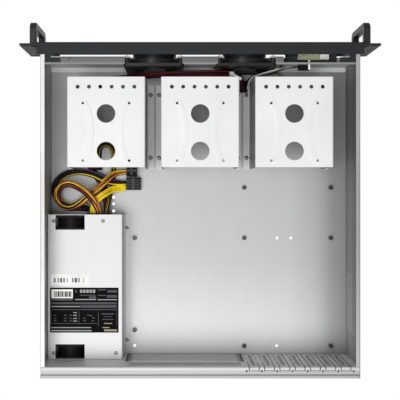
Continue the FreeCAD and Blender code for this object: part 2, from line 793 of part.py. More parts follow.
def make_drive_cage(centre):
    half = cage_half_width()
    foot = half + cage_foot
    top = cage_height
    outline = [(-foot, sheet), (-half + sheet, sheet), (-half + sheet, top - sheet),
               (half - sheet, top - sheet), (half - sheet, sheet), (foot, sheet),
               (foot, 2 * sheet), (half, 2 * sheet), (half, top), (-half, top),
               (-half, 2 * sheet), (-foot, 2 * sheet)]
    corners = [Vec(centre + x, front_y + cage_front, z) for x, z in outline]
    cage = Part.Face(Part.makePolygon(corners + corners[:1])).extrude(Vec(0, cage_length, 0))
    outer = [(centre + side * half, top) for side in (-1, 1)]
    outer += [(centre + side * (half - sheet), sheet) for side in (-1, 1)]
    inner = [(centre + side * (half - sheet), top - sheet) for side in (-1, 1)]
    inner += [(centre + side * half, 2 * sheet) for side in (-1, 1)]
    cage = folded(cage, "y", outer, inner)
    ribs = []
    grooves = []
    for side in (-1, 1):
        ribs.append(arched_rib(centre, side, top, rib_rise, rib_width))
        grooves.append(arched_rib(centre, side, top - sheet, rib_rise, rib_width - sheet))
    cage = fused([cage] + ribs)

    cuts = list(grooves)
    base = top - sheet
    for index in range(6):
        x = centre + (index - 2.5) * vent_hole_pitch
        cuts.append(disc_through(vent_hole_radius, x, cage_front + vent_hole_inset, base, sheet, UP))
    for inset in large_hole_insets:
        cuts.append(disc_through(large_hole_radius, centre, cage_front + inset, base, sheet, UP))
    for side in (-1, 1):
        for row in (0, small_drive_length):
            x = centre + side * small_drive_width / 2
            depth = cage_front + small_drive_inset + row
            cuts.append(disc_through(small_drive_hole, x, depth, base - 1.0, sheet + 3.0, UP))
    for bay in range(3):
        z = 2 * sheet + drive_hole_rise + bay * cage_bay_rise
        for inset in drive_hole_insets:
            cuts.append(disc_through(drive_hole_radius, centre - half, cage_front + inset, z,
                                     2 * half, ACROSS))
    for x, depth in cage_screw_places(centre):
        cuts.append(disc_through(floor_screw_hole, x, depth, sheet, sheet, UP))
    return cut(cage, cuts)


def make_cage_screws():
    screws = []
    for centre in cage_centres():
        for x, depth in cage_screw_places(centre):
            place = Vec(x, front_y + depth, 2 * sheet)
            screws.append(pan_screw(3.0, 1.8, floor_screw_radius, 2 * sheet, place, UP))
    return screws


# ---- power supply -------------------------------------------------------------------

supply_screw_radius = 1.6
supply_screw_inset = 7.0
supply_cover_gap = 0.1
supply_fan_wall_gap = 0.1
inlet_width = 27.5
inlet_height = 20.0
inlet_x = 135.0
outlet_x = 141.0
outlet_width = 30.0
outlet_height = 20.0
outlet_sill = 9.0
bushing_wall = 1.6


def supply_screw_places():
    for x in (supply_left + supply_screw_inset, supply_right - supply_screw_inset):
        yield x, sheet + supply_screw_inset
        yield x, supply_top - supply_screw_inset


def bracket_screw_x():
    return supply_left - seat_gap - sheet - supply_bracket_foot / 2


def supply_bracket_depths():
    return (supply_front + 20.0, supply_front + supply_length - 20.0)


def supply_fan_fronts():
    wall = supply_sheet + supply_fan_wall_gap
    return (supply_front + wall, supply_front + supply_length - wall - supply_fan_depth)


def make_supply_base():
    """Bottom, front and rear walls of the supply, one folded sheet."""
    left = supply_left + supply_sheet + supply_cover_gap
    right = supply_right - supply_sheet - supply_cover_gap
    rear = supply_front + supply_length
    top = supply_top - supply_sheet - seat_gap
    floor = slab(left, right, supply_front, rear, sheet, sheet + supply_sheet)
    front_wall = slab(left, right, supply_front, supply_front + supply_sheet, sheet, top)
    rear_wall_plate = slab(left, right, rear - supply_sheet, rear, sheet, top)
    base = fused([floor, front_wall, rear_wall_plate])
    cuts = []
    fan_z = supply_fan_height()
    radius = supply_fan_size / 2 - 1.6
    for start in (supply_front, rear - supply_sheet):
        cuts.append(disc_through(radius, supply_fan_centre, start, fan_z, supply_sheet, REARWARD))
    half = outlet_width / 2
    cuts.append(slab(outlet_x - half, outlet_x + half, supply_front, supply_front + supply_sheet,
                     outlet_sill, outlet_sill + outlet_height))
    half = inlet_width / 2
    cuts.append(slab(inlet_x - half, inlet_x + half, rear - supply_sheet, rear,
                     inlet_sill(), inlet_sill() + inlet_height))
    for x, z in supply_screw_places():
        if abs(x - inlet_x) > inlet_width / 2 + 2.0:
            cuts.append(disc_through(supply_screw_radius, x, rear - supply_sheet, z, supply_sheet,
                                     REARWARD))
    return cut(base, cuts)


def inlet_sill():
    return sheet + (supply_height - inlet_height) / 2


def supply_fan_height():
    return sheet + supply_sheet + supply_fan_size / 2


def cover_screw_places():
    near = 9.0
    rear = supply_front + supply_length
    return ((supply_right - near, supply_front + near), (supply_left + near + 18.0, supply_front + near),
            (supply_right - near, rear - near), (supply_left + near, rear - near))


def make_supply_cover():
    """Top and both sides of the supply, one folded sheet with a window over each fan."""
    rear = supply_front + supply_length
    low = sheet
    outer = slab(supply_left, supply_right, supply_front, rear, low, supply_top)
    edges = fold_edges(outer, "y", [(supply_left, supply_top), (supply_right, supply_top)])
    outer = outer.makeFillet(supply_sheet + 0.6, edges)
    inner = slab(supply_left + supply_sheet, supply_right - supply_sheet, supply_front, rear,
                 low, supply_top - supply_sheet)
    edges = fold_edges(inner, "y", [(supply_left + supply_sheet, supply_top - supply_sheet),
                                    (supply_right - supply_sheet, supply_top - supply_sheet)])
    inner = inner.makeFillet(0.6, edges)
    cover = outer.cut(inner)
    cuts = []
    half = supply_window / 2
    window_depth = supply_fan_depth + supply_sheet + 2 * supply_fan_wall_gap
    for start in (supply_front, rear - window_depth):
        cuts.append(slab(supply_fan_centre - half, supply_fan_centre + half, start,
                         start + window_depth, supply_top - supply_sheet, supply_top))
    for x, depth in cover_screw_places():
        cuts.append(disc_through(1.3, x, depth, supply_top - supply_sheet, supply_sheet, UP))
    return cut(cover, cuts)


def make_supply_fan_frame(front):
    size = supply_fan_size
    axis_z = supply_fan_height()
    rear = front + supply_fan_depth
    bore = size / 2 - 1.4
    flange = 3.0
    x = supply_fan_centre
    plates = [rounded_square(x, axis_z, size, front, flange, 3.0),
              rounded_square(x, axis_z, size, rear - flange, flange, 3.0)]
    barrel = disc_through(size / 2 - 0.3, x, front, axis_z, supply_fan_depth, REARWARD)
    body = fused(plates + [barrel])
    body = body.cut(disc_through(bore, x, front, axis_z, supply_fan_depth, REARWARD))
    mount, bearing = motor_mount(x, axis_z, supply_fan_hub, bore + 0.8, rear, front + 5.0)
    return fused([body, mount]).cut(bearing)


def make_supply_fan_rotor(front):
    rear = front + supply_fan_depth - strut_depth - rotor_gap
    return make_rotor(supply_fan_centre, supply_fan_height(), supply_fan_hub,
                      supply_fan_size / 2 - 1.4, front + 1.0, rear, supply_fan_blades)


def make_supply_screws():
    """Four screws through the rear panel and four small ones in the cover."""
    screws = []
    behind = rear_wall + sheet
    for x, z in supply_screw_places():
        if abs(x - inlet_x) > inlet_width / 2 + 2.0:
            place = Vec(x, front_y + behind, z)
            screws.append(pan_screw(3.2, 2.0, supply_screw_radius - 0.1, sheet + seat_gap + supply_sheet,
                                    place, REARWARD))
    for x, depth in cover_screw_places():
        place = Vec(x, front_y + depth, supply_top)
        screws.append(pan_screw(2.6, 0.9, 1.2, 3.0, place, UP))
    return screws


def make_supply_bracket():
    """An angle on the floor that holds the supply against the side wall."""
    right = supply_left - seat_gap
    left = right - sheet - supply_bracket_foot
    rear = supply_front + supply_length
    upright = slab(right - sheet, right, supply_front, rear, sheet, sheet + supply_bracket_rise)
    foot = slab(left, right, supply_front, rear, sheet, 2 * sheet)
    holes = [disc_through(floor_screw_hole, bracket_screw_x(), depth, sheet, sheet, UP)
             for depth in supply_bracket_depths()]
    return cut(fused([upright, foot]), holes)


def make_bracket_screws():
    screws = []
    for depth in supply_bracket_depths():
        place = Vec(bracket_screw_x(), front_y + depth, 2 * sheet)
        screws.append(pan_screw(2.3, 1.6, floor_screw_radius, 2 * sheet, place, UP))
    return screws


def make_mains_inlet():
    """A three-pin inlet in the supply's rear wall."""
    rear = supply_front + supply_length
    half = inlet_width / 2
    sill = inlet_sill()
    gap = 0.1
    body = slab(inlet_x - half + gap, inlet_x + half - gap, rear - 18.0, rear, sill + gap,
                sill + inlet_height - gap)
    flange = slab(inlet_x - half - 1.5, inlet_x + half + 1.5, rear - supply_sheet - 1.5,
                  rear - supply_sheet, sill - 1.5, sill + inlet_height + 1.5)
    inlet = fused([body, flange])
    hollow = slab(inlet_x - half + 2.0, inlet_x + half - 2.0, rear - 15.0, rear, sill + 2.0,
                  sill + inlet_height - 2.0)
    inlet = inlet.cut(hollow)
    middle = sill + inlet_height / 2
    pins = [slab(inlet_x + x - 1.0, inlet_x + x + 1.0, rear - 16.0, rear - 4.0,
                 middle + z - 2.0, middle + z + 2.0)
            for x, z in ((-7.0, -1.5), (0.0, 2.0), (7.0, -1.5))]
    return fused([inlet] + pins)


def make_cable_bushing():
    """The plastic frame round the hole where the supply's cables leave."""
    gap = 0.1
    half = outlet_width / 2
    front = supply_front
    flange = slab(outlet_x - half - 1.8, outlet_x + half + 1.8, front - 1.4, front,
                  outlet_sill - 1.8, outlet_sill + outlet_height + 1.8)
    sleeve = slab(outlet_x - half + gap, outlet_x + half - gap, front, front + 3.0,
                  outlet_sill + gap, outlet_sill + outlet_height - gap)
    passage = slab(outlet_x - half + bushing_wall, outlet_x + half - bushing_wall, front - 1.4,
                   front + 3.0, outlet_sill + bushing_wall, outlet_sill + outlet_height - bushing_wall)
    return fused([flange, sleeve]).cut(passage)


supply_board_level = 4.0
supply_board_thickness = 1.6


def supply_board_top():
    return sheet + supply_sheet + supply_board_level + supply_board_thickness


def make_supply_board():
    """The circuit board on its four pillars, between the two fans."""
    margin = 6.0
    front = supply_fan_fronts()[0] + supply_fan_depth + 2.0
    rear = supply_fan_fronts()[1] - 2.0
    left = supply_left + margin
    right = supply_right - margin
    low = sheet + supply_sheet
    board = slab(left, right, front, rear, low + supply_board_level, supply_board_top())
    pillars = [disc_through(2.5, x, depth, low, supply_board_level, UP)
               for x in (left + 4.0, right - 4.0) for depth in (front + 4.0, rear - 4.0)]
    return fused([board] + pillars)


def supply_mid():
    return (supply_left + supply_right) / 2, supply_front + supply_length / 2


def make_supply_transformer():
    x, depth = supply_mid()
    low = supply_board_top()
    core = slab(x - 16.0, x + 16.0, depth - 14.0, depth + 14.0, low, low + 24.0)
    winding = slab(x - 12.0, x + 12.0, depth - 18.0, depth + 18.0, low + 4.0, low + 20.0)
    return fused([core, winding])


def make_supply_capacitors():
    x, depth = supply_mid()
    low = supply_board_top()
    cans = [disc_through(9.0, x - 34.0, depth + 40.0, low, 28.0, UP),
            disc_through(9.0, x - 13.0, depth + 40.0, low, 28.0, UP)]
    cans += [disc_through(4.0, x - 34.0 + 11.0 * index, depth - 48.0, low, 20.0, UP)
             for index in range(4)]
    return [can.makeFillet(1.0, [can.Edges[0]]) for can in cans]


def make_supply_heat_sinks():
    x, depth = supply_mid()
    low = supply_board_top()
    sinks = []
    for side in (-1, 1):
        plate_x = x + side * 30.0
        web = slab(plate_x - 1.5, plate_x + 1.5, depth - 30.0, depth + 24.0, low, low + 26.0)
        fins = [slab(plate_x, plate_x - side * 9.0, depth - 30.0 + 7.5 * index,
                     depth - 28.5 + 7.5 * index, low + 6.0, low + 26.0) for index in range(8)]
        sinks.append(fused([web] + fins))
    return sinks


# ---- front controls -----------------------------------------------------------------

control_shelf_level = 70.0
button_gap = 0.25
button_level = 60.0
button_flange = 1.2
button_proud = 1.2
power_button_x = -166.0
reset_button_x = -182.0
light_level = 44.0
usb_width = 13.1
usb_height = 5.7
usb_bottom = board_level + board_thickness
usb_length = 17.0


def usb_places():
    return (board_centre + 8.0, board_centre - 8.0)


def light_places():
    return (power_button_x - 8.0, power_button_x, power_button_x + 8.0)


def make_control_bracket():
    """A grey angle behind the panel: shelf for the board, plate down for the buttons."""
    left = control_centre - control_shelf_width / 2
    right = control_centre + control_shelf_width / 2
    shelf = slab(left, right, panel_sheet, shelf_rear, control_shelf_level - sheet,
                 control_shelf_level)
    plate_back = panel_sheet + 8.0
    plate_left = left - 10.0
    plate_right = power_button_x + 16.0
    plate = slab(plate_left, plate_right, plate_back - sheet, plate_back, light_level - 8.0,
                 control_shelf_level)
    tab = slab(plate_left, plate_left + sheet, panel_sheet, plate_back, light_level - 8.0,
               control_shelf_level)
    bridge = slab(plate_left, left, panel_sheet, plate_back, control_shelf_level - sheet,
                  control_shelf_level)
    spacers = [disc_through(2.2, board_centre + side * 12.0, board_rear - 5.0, control_shelf_level,
                            board_level - control_shelf_level, UP) for side in (-1, 1)]
    return fused([shelf, plate, tab, bridge] + spacers)


def make_control_board():
    """The small board, with a header for each lead: one stands out behind, one at its end."""
    half = board_width / 2
    top = board_level + board_thickness
    board = slab(board_centre - half, board_centre + half, panel_sheet + seat_gap, board_rear,
                 board_level, top)
    header = slab(panel_plug_x - 5.0, panel_plug_x + 5.0, board_rear - 6.0, panel_plug_front,
                  top, top + 2.2)
    end, feed, _ = usb_route[0]
    end_header = slab(end - header_width, end, feed - 3.2, feed + 3.2, top, top + 5.6)
    return fused([board, header, end_header])


def make_header_socket():
    """The white pin header at the board's far end."""
    right = board_centre - board_width / 2 + 12.5
    left = right - 11.5
    rear = board_rear - 0.5
    low = board_level + board_thickness
    body = slab(left, right, rear - 6.0, rear, low, low + 5.5)
    well = slab(left + 0.8, right - 0.8, rear - 5.2, rear - 0.8, low + 1.2, low + 5.5)
    pins = [slab(left + 1.9 + 2.0 * index, left + 2.5 + 2.0 * index, rear - 3.3, rear - 2.7,
                 low + 1.2, low + 4.8) for index in range(5)]
    return fused([body.cut(well)] + pins)


def make_usb_sockets():
    """Two metal-shelled sockets side by side on the board."""
    sockets = []
    for x in usb_places():
        left = x - usb_width / 2
        right = x + usb_width / 2
        shell = slab(left, right, 0.2, usb_length - 3.0, usb_bottom, usb_bottom + usb_height)
        mouth = slab(left + 0.5, right - 0.5, 0.2, usb_length - 8.0, usb_bottom + 0.5,
                     usb_bottom + usb_height - 0.5)
        tongue = slab(left + 1.5, right - 1.5, 2.0, usb_length - 8.0, usb_bottom + 2.6,
                      usb_bottom + 4.4)
        sockets.append(fused([shell.cut(mouth), tongue]))
    return sockets


def make_button(x, radius):
    """A round cap with a flange behind the panel that keeps it from falling out."""
    flange_front = panel_sheet + seat_gap
    cap = disc_through(radius, x, -button_proud, button_level, button_proud + flange_front, REARWARD)
    cap = cap.makeFillet(0.5, [cap.Edges[2]])
    flange = disc_through(radius + 1.2, x, flange_front, button_level, button_flange, REARWARD)
    return fused([cap, flange])


def make_switches():
    """The two push switches that the caps press, on the bracket's plate."""
    plate_front = panel_sheet + 8.0 - sheet
    flange_back = panel_sheet + seat_gap + button_flange
    pieces = []
    for x, travel in ((power_button_x, power_button_travel), (reset_button_x, reset_button_travel)):
        nose = flange_back + travel + 0.1
        body = slab(x - 3.0, x + 3.0, nose + 0.8, plate_front, button_level - 3.0, button_level + 3.0)
        plunger = disc_through(1.5, x, nose, button_level, 0.8, REARWARD)
        pieces.append(fused([body, plunger]))
    return pieces


def make_status_lights():
    plate_front = panel_sheet + 8.0 - sheet
    lights = []
    for x in light_places():
        stem = disc_through(light_radius, x, 0, light_level, plate_front, REARWARD)
        lights.append(stem.makeFillet(0.7, [stem.Edges[2]]))
    return lights


# ---- cables -------------------------------------------------------------------------

# Each route is a list of (across, depth, height) corners, from the exit to the plug.
thick_bundle = 3.2
slim_bundle = 2.5
drive_bundle = 1.4
usb_lead_radius = 1.8
panel_lead_radius = 1.5
fan_lead_radius = 1.1
plug_floor = sheet + 0.2
foot_plug_floor = 2 * sheet + 0.2

processor_route = [
    (139.0, 233.6, 14.5), (154.5, 222.5, 14.2), (170.0, 220.5, 8.5), (186.0, 221.5, 6.0),
    (199.5, 214.5, 5.0), (206.5, 201.5, 5.0), (205.5, 187.0, 5.0), (196.0, 176.0, 5.5),
    (181.0, 170.5, 7.0), (164.5, 170.5, 9.5), (149.0, 174.5, 12.0), (135.0, 181.5, 12.0),
    (121.0, 186.5, 8.0), (103.6, 186.5, 8.0)]
board_route = [
    (140.0, 233.6, 23.0), (142.5, 221.5, 27.0), (149.5, 209.0, 30.0), (161.0, 197.0, 31.0),
    (177.9, 187.8, 29.0), (190.1, 187.8, 26.0), (199.4, 195.6, 22.0), (201.5, 207.6, 18.5),
    (195.4, 218.1, 15.8), (184.0, 222.3, 14.8), (172.6, 218.1, 14.5), (159.5, 207.5, 14.5),
    (146.5, 196.5, 16.0), (133.5, 185.5, 20.5), (119.5, 171.0, 8.0), (103.2, 171.0, 8.0)]
second_processor_route = [
    (150.0, 233.6, 22.0), (150.0, 221.5, 22.5), (143.5, 209.5, 22.5), (132.5, 201.0, 22.0),
    (119.5, 193.2, 8.0), (103.6, 193.2, 8.0)]
fan_supply_route = [
    (131.0, 233.6, 14.5), (132.0, 221.0, 11.8), (133.5, 207.0, 5.5), (135.5, 192.0, 4.2),
    (144.5, 179.5, 4.2), (154.5, 166.5, 4.2), (157.0, 150.0, 4.2), (158.5, 130.0, 4.2),
    (158.5, 108.0, 4.2), (157.0, 84.0, 4.2), (154.0, 62.0, 4.8), (147.0, 48.0, 7.5),
    (134.5, 40.0, 12.0), (118.0, 37.5, 17.5), (99.0, 37.5, 26.0), (77.0, 37.5, 37.5),
    (55.0, 37.5, 48.0), (32.0, 37.5, 55.5), (8.0, 37.5, 58.5), (-18.0, 37.0, 57.5),
    (-36.0, 36.8, 55.0), (-48.5, 38.0, 50.5), (-57.0, 40.5, 42.5), (-60.0, 46.5, 33.0),
    (-60.7, 51.6, 24.0), (-60.7, 51.6, 14.0)]
drive_route = [
    (131.0, 233.6, 23.0), (130.2, 222.0, 20.5), (128.0, 209.0, 11.5), (126.0, 196.0, 4.4),
    (123.8, 181.0, 3.0), (122.2, 166.0, 3.0), (122.0, 151.5, 3.0), (123.2, 138.5, 3.0),
    (128.6, 131.8, 3.0), (137.2, 131.6, 3.2), (142.4, 137.4, 3.4), (143.0, 147.6, 3.6),
    (143.0, 156.0, 3.6)]
usb_route = [
    (-131.0, 15.0, 78.4), (-123.0, 15.0, 78.4), (-115.5, 18.8, 76.6), (-111.5, 26.5, 73.0),
    (-108.0, 34.5, 69.3), (-98.0, 38.2, 64.5), (-86.0, 39.0, 56.5), (-77.0, 39.0, 47.5),
    (-71.3, 40.2, 37.0), (-67.0, 44.6, 25.0), (-67.0, 44.6, 13.6)]
panel_route = [
    (-132.0, 31.0, 75.0), (-119.5, 31.0, 75.0), (-106.0, 35.5, 74.0), (-92.0, 38.5, 69.5),
    (-80.0, 40.2, 61.5), (-71.0, 41.0, 50.5), (-67.6, 46.2, 38.5), (-67.0, 53.2, 26.5),
    (-67.0, 53.2, 13.6)]
fan_lead_steps = [
    (0.0, 29.4, 16.0), (-7.5, 29.4, 16.0), (-16.5, 33.0, 9.5), (-25.5, 38.0, 3.8),
    (-36.0, 38.0, 3.8)]
tie_section = (20, 0.55)
tie_width = 3.6
tie_tail = Vec(-14.5, 8.5, 3.0)
panel_plug_x = -139.5
panel_plug_front = board_rear + 0.5
header_width = 6.0
connector_height = 9.6
board_plug_length = 14.6
board_plug_width = 51.6
board_plug_margin = 6.0
processor_plug_length = 20.6
processor_plug_width = 17.6
processor_plug_margin = 3.0
fan_plug_length = 12.0
fan_plug_width = 7.6
fan_plug_height = 4.8
drive_plug_length = 12.0
drive_plug_width = 9.0
drive_plug_height = 5.6
drive_plug_wall = 0.8


def route_points(route):
    return [Vec(x, front_y + depth, z) for x, depth, z in route]


def cord_tube(route, radius, name):
    """A round cord along a route: straight runs joined by arcs as large as they allow."""
    points = route_points(route)
    edges = []
    radii = []
    start = points[0]
    length = 0.0
    for before, corner, after in zip(points, points[1:], points[2:]):
        way_in = (corner - before).normalize()
        way_out = (after - corner).normalize()
        turn = way_in.getAngle(way_out)
        reach = 0.45 * min((corner - before).Length, (after - corner).Length)
        bend = reach / math.tan(turn / 2)
        arc_start = corner - way_in * reach
        arc_end = corner + way_out * reach
        inward = (way_out - way_in).normalize()
        middle = corner + inward * (bend / math.cos(turn / 2) - bend)
        edges.append(Part.LineSegment(start, arc_start).toShape())
        edges.append(Part.Arc(arc_start, middle, arc_end).toShape())
        length += (arc_start - start).Length + bend * turn
        radii.append(round(bend, 1))
        start = arc_end
    edges.append(Part.LineSegment(start, points[-1]).toShape())
    length += (points[-1] - start).Length
    section = Part.Wire(Part.makeCircle(radius, points[0], points[1] - points[0]))
    tube = Part.Wire(edges).makePipeShell([section], True, False)
    solid = Part.Solid(tube) if tube.ShapeType == "Shell" else tube
    ratio = solid.Volume / (math.pi * radius ** 2 * length)
    print(name, "length", round(length, 1), "volume ratio", round(ratio, 4), "radii", radii)
    return solid


def multi_pin_plug(left, right, depth0, depth1, low, high, rows, columns):
    """A plug lying on the floor: wires enter at its right side, its sockets face left."""
    body = slab(left, right, depth0, depth1, low, high)
    edges = [edge for edge in body.Edges if abs(edge.Vertexes[0].X - edge.Vertexes[1].X) > 1]
    body = body.makeChamfer(0.6, edges)
    middle = (depth0 + depth1) / 2
    latch = slab(left + 2.0, right - 2.0, middle - 2.2, middle + 2.2, high, high + 1.6)
    column_pitch = (depth1 - depth0 - 1.2) / columns
    row_pitch = (high - low - 1.2) / rows
    wells = []
    for row in range(rows):
        for column in range(columns):
            depth = depth0 + 0.6 + column_pitch * (column + 0.5)
            z = low + 0.6 + row_pitch * (row + 0.5)
            half = min(column_pitch, row_pitch) * 0.36
            wells.append(slab(left, left + 7.0, depth - half, depth + half, z - half, z + half))
    return cut(fused([body, latch]), wells)


def make_board_connector():
    """The plug of 24 ways, its rear end just behind the cable that feeds it."""
    right, feed, _ = board_route[-1]
    rear = feed + board_plug_margin
    return multi_pin_plug(right - board_plug_length, right, rear - board_plug_width, rear,
                          plug_floor, plug_floor + connector_height, 2, 12)


def make_processor_connector():
    """The plug of 8 ways that both processor cables feed."""
    right, feed, _ = second_processor_route[-1]
    rear = feed + processor_plug_margin
    return multi_pin_plug(right - processor_plug_length, right, rear - processor_plug_width, rear,
                          plug_floor, plug_floor + connector_height, 2, 4)


def make_fan_plugs():
    plugs = []
    for centre in fan_centres():
        right = centre - fan_size / 2 + fan_lead_steps[-1][0]
        front = fan_lead_steps[-1][1] - fan_plug_width / 2
        plugs.append(slab(right - fan_plug_length, right, front, front + fan_plug_width, plug_floor,
                          plug_floor + fan_plug_height))
    return plugs


def upright_plug(route, width, length):
    """A plug that stands on the cages' feet, its cable coming down into its top."""
    x, depth, top = route[-1]
    return slab(x - width / 2, x + width / 2, depth - length / 2, depth + length / 2,
                foot_plug_floor, top)


def make_fan_supply_plug():
    return upright_plug(fan_supply_route, 6.6, 10.2)


def make_header_plugs():
    """Two alike: one on the sockets' lead, one on the buttons' and lights' lead."""
    return [upright_plug(route, 5.2, 7.0) for route in (usb_route, panel_route)]


def make_drive_plug():
    """The drives' plug, lying under the cage where the folded cable ends."""
    x, front, _ = drive_route[-1]
    half = drive_plug_width / 2
    inside = half - drive_plug_wall
    rear = front + drive_plug_length
    top = plug_floor + drive_plug_height
    body = slab(x - half, x + half, front, rear, plug_floor, top)
    mouth = slab(x - inside, x + inside, rear - drive_plug_length / 2, rear,
                 plug_floor + drive_plug_wall, top - drive_plug_wall)
    return body.cut(mouth)


def make_panel_plug():
    """The plug that the front lead starts from, pushed onto the small board's header."""
    return slab(panel_plug_x - 7.5, panel_plug_x + 7.5, panel_plug_front, panel_plug_front + 13.5,
                72.0, 78.6)


def make_cable_tie():
    """A strap round the fans' supply cable, with its head on top and its tail left long."""
    index, share = tie_section
    points = route_points(fan_supply_route)
    run = points[index + 1] - points[index]
    place = points[index] + run * share
    along = run.normalize()
    start = place - along * (tie_width / 2)
    inner = slim_bundle + 0.05
    outer = slim_bundle + 1.2
    ring = Part.makeCylinder(outer, tie_width, start, along)
    ring = ring.cut(Part.makeCylinder(inner, tie_width, start, along))
    head = Part.makeBox(5.0, 4.6, 4.4, Vec(-2.5, -2.3, 0))
    seat = place + UP * (inner + 0.4)
    head.Placement = FreeCAD.Placement(seat, FreeCAD.Rotation(along, Vec(), UP, "XZY"))
    tail = Part.makeBox(tie_tail.Length, tie_width, 1.1, Vec(0, -tie_width / 2, 2.0))
    tail.Placement = FreeCAD.Placement(seat, FreeCAD.Rotation(tie_tail, Vec(), UP, "XZY"))
    return fused([ring, head, tail])


# ---- build --------------------------------------------------------------------------

def build_casing():
    export(make_chassis_tray(), "chassis_tray")
    export(make_board_standoffs(), "board_standoffs")
    export(make_rear_panel(), "rear_panel")
    export(make_aperture_blank(), "aperture_blank")
    export(make_front_bulkhead(), "front_bulkhead")
    export(make_front_panel(), "front_panel")
    ear = make_ear_bracket()
    handle = make_handle()
    export(ear, "ear_bracket_right")
    export(mirrored(ear), "ear_bracket_left")
    export(handle, "handle_right")
    export(mirrored(handle), "handle_left")
    export(make_handle_screws(1) + make_handle_screws(-1), "handle_screws")


def build_fans():
    for centre, side in zip(fan_centres(), ("left", "right")):
        export(make_fan_frame(centre), "fan_frame_" + side)
        export(make_fan_rotor(centre), "fan_rotor_" + side)
    export(make_fan_screws(), "fan_screws")


def build_cages():
    for centre, side in zip(cage_centres(), ("left", "centre", "right")):
        export(make_drive_cage(centre), "drive_cage_" + side)
    export(make_cage_screws(), "cage_screws")


def build_supply():
    export(make_supply_base(), "supply_base")
    export(make_supply_cover(), "supply_cover")
    for front, place in zip(supply_fan_fronts(), ("front", "rear")):
        export(make_supply_fan_frame(front), "supply_fan_frame_" + place)
        export(make_supply_fan_rotor(front), "supply_fan_rotor_" + place)
    export(make_supply_screws(), "supply_screws")
    export(make_supply_bracket(), "supply_bracket")
    export(make_bracket_screws(), "bracket_screws")
    export(make_mains_inlet(), "mains_inlet")
    export(make_cable_bushing(), "cable_bushing")
    export(make_supply_board(), "supply_board")
    export(make_supply_transformer(), "supply_transformer")
    export(make_supply_capacitors(), "supply_capacitors")
    export(make_supply_heat_sinks(), "supply_heat_sinks")


def build_controls():
    export(make_control_bracket(), "control_bracket")
    export(make_control_board(), "control_board")
    export(make_header_socket(), "header_socket")
    export(make_usb_sockets(), "usb_sockets")
    export(make_button(power_button_x, power_button_radius), "power_button")
    export(make_button(reset_button_x, reset_button_radius), "reset_button")
    export(make_switches(), "push_switches")
    export(make_status_lights(), "status_lights")


def build_cables():
    export(cord_tube(processor_route, thick_bundle, "processor_cable"), "processor_cable")
    export(cord_tube(board_route, slim_bundle, "board_cable"), "board_cable")
    export(cord_tube(second_processor_route, slim_bundle, "yellow_cable"), "yellow_cable")
    export(cord_tube(fan_supply_route, slim_bundle, "fan_supply_cable"), "fan_supply_cable")
    export(cord_tube(drive_route, drive_bundle, "drive_cable"), "drive_cable")
    export(cord_tube(usb_route, usb_lead_radius, "usb_lead"), "usb_lead")
    export(cord_tube(panel_route, panel_lead_radius, "panel_lead"), "panel_lead")
    for centre, side in zip(fan_centres(), ("left", "right")):
        side_face = centre - fan_size / 2
        steps = [(side_face + x, depth, z) for x, depth, z in fan_lead_steps]
        export(cord_tube(steps, fan_lead_radius, "fan_lead_" + side), "fan_lead_" + side)
    export(make_board_connector(), "board_connector")
    export(make_processor_connector(), "processor_connector")
    export(make_fan_plugs(), "fan_plugs")
    export(make_fan_supply_plug(), "fan_supply_plug")
    export(make_header_plugs(), "header_plugs")
    export(make_drive_plug(), "drive_plug")
    export(make_panel_plug(), "panel_plug")
    export(make_cable_tie(), "cable_tie")


build_casing()
build_fans()
build_cages()
build_supply()
build_controls()
build_cables()
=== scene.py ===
import bpy, bmesh, math, random
from mathutils import Matrix, Vector


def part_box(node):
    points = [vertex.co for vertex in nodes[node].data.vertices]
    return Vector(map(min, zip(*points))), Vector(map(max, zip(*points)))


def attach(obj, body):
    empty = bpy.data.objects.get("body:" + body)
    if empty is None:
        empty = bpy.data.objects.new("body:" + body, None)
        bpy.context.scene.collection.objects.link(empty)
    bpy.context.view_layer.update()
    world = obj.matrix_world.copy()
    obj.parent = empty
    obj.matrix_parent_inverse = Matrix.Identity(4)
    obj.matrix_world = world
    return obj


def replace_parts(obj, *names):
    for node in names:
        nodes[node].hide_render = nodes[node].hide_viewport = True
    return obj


# An open 2U rack case seen from above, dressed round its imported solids. Metres, Z up.
# +X is towards the power supply's wall, +Y towards the rear panel.

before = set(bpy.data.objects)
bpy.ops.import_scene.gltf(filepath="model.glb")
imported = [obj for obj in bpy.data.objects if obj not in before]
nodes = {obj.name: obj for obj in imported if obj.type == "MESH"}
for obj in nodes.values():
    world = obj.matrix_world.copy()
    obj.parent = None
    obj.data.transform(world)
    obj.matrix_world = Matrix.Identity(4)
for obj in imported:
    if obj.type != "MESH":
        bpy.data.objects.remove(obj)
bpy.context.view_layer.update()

MM = 0.001
UP, FORWARD, REARWARD = Vector((0, 0, 1)), Vector((0, -1, 0)), Vector((0, 1, 0))

# Planes across the case, in metres. Every depth is counted from the first of them.
FRONT = -0.2095
REAR_WALL = FRONT + 0.4320
FLANGE_LIP = REAR_WALL + 0.0054
FLANGE_STEP = FRONT + 0.4435
BACK = FRONT + 0.4475
# A height just clear of the tray's sheet, in metres.
FLOOR_CLEAR = 0.0013

# The seven slots run from the first towards -X, and end this far from it, in metres.
FIRST_SLOT, SLOT_PITCH = -0.0717, 0.02032
SLOTS_END = -6.5 * SLOT_PITCH

# Middles of what stands in rows, in millimetres.
FAN_CENTRES = {"left": -62.0, "right": 62.0}
CAGE_CENTRES = (-125.5, 0.0, 125.5)
MID_HEIGHT = 44.0


def spot(x, depth, z):
    """A place in metres, from millimetres across, behind the front and up."""
    return Vector((x * MM, FRONT + depth * MM, z * MM))


# ---- making helpers -----------------------------------------------------------------

def in_scene(name, data):
    made = bpy.data.objects.new(name, data)
    bpy.context.scene.collection.objects.link(made)
    return made


def link_piece(name, mesh):
    """A piece of the casing."""
    piece = in_scene(name, mesh)
    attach(piece, "casing")
    return piece


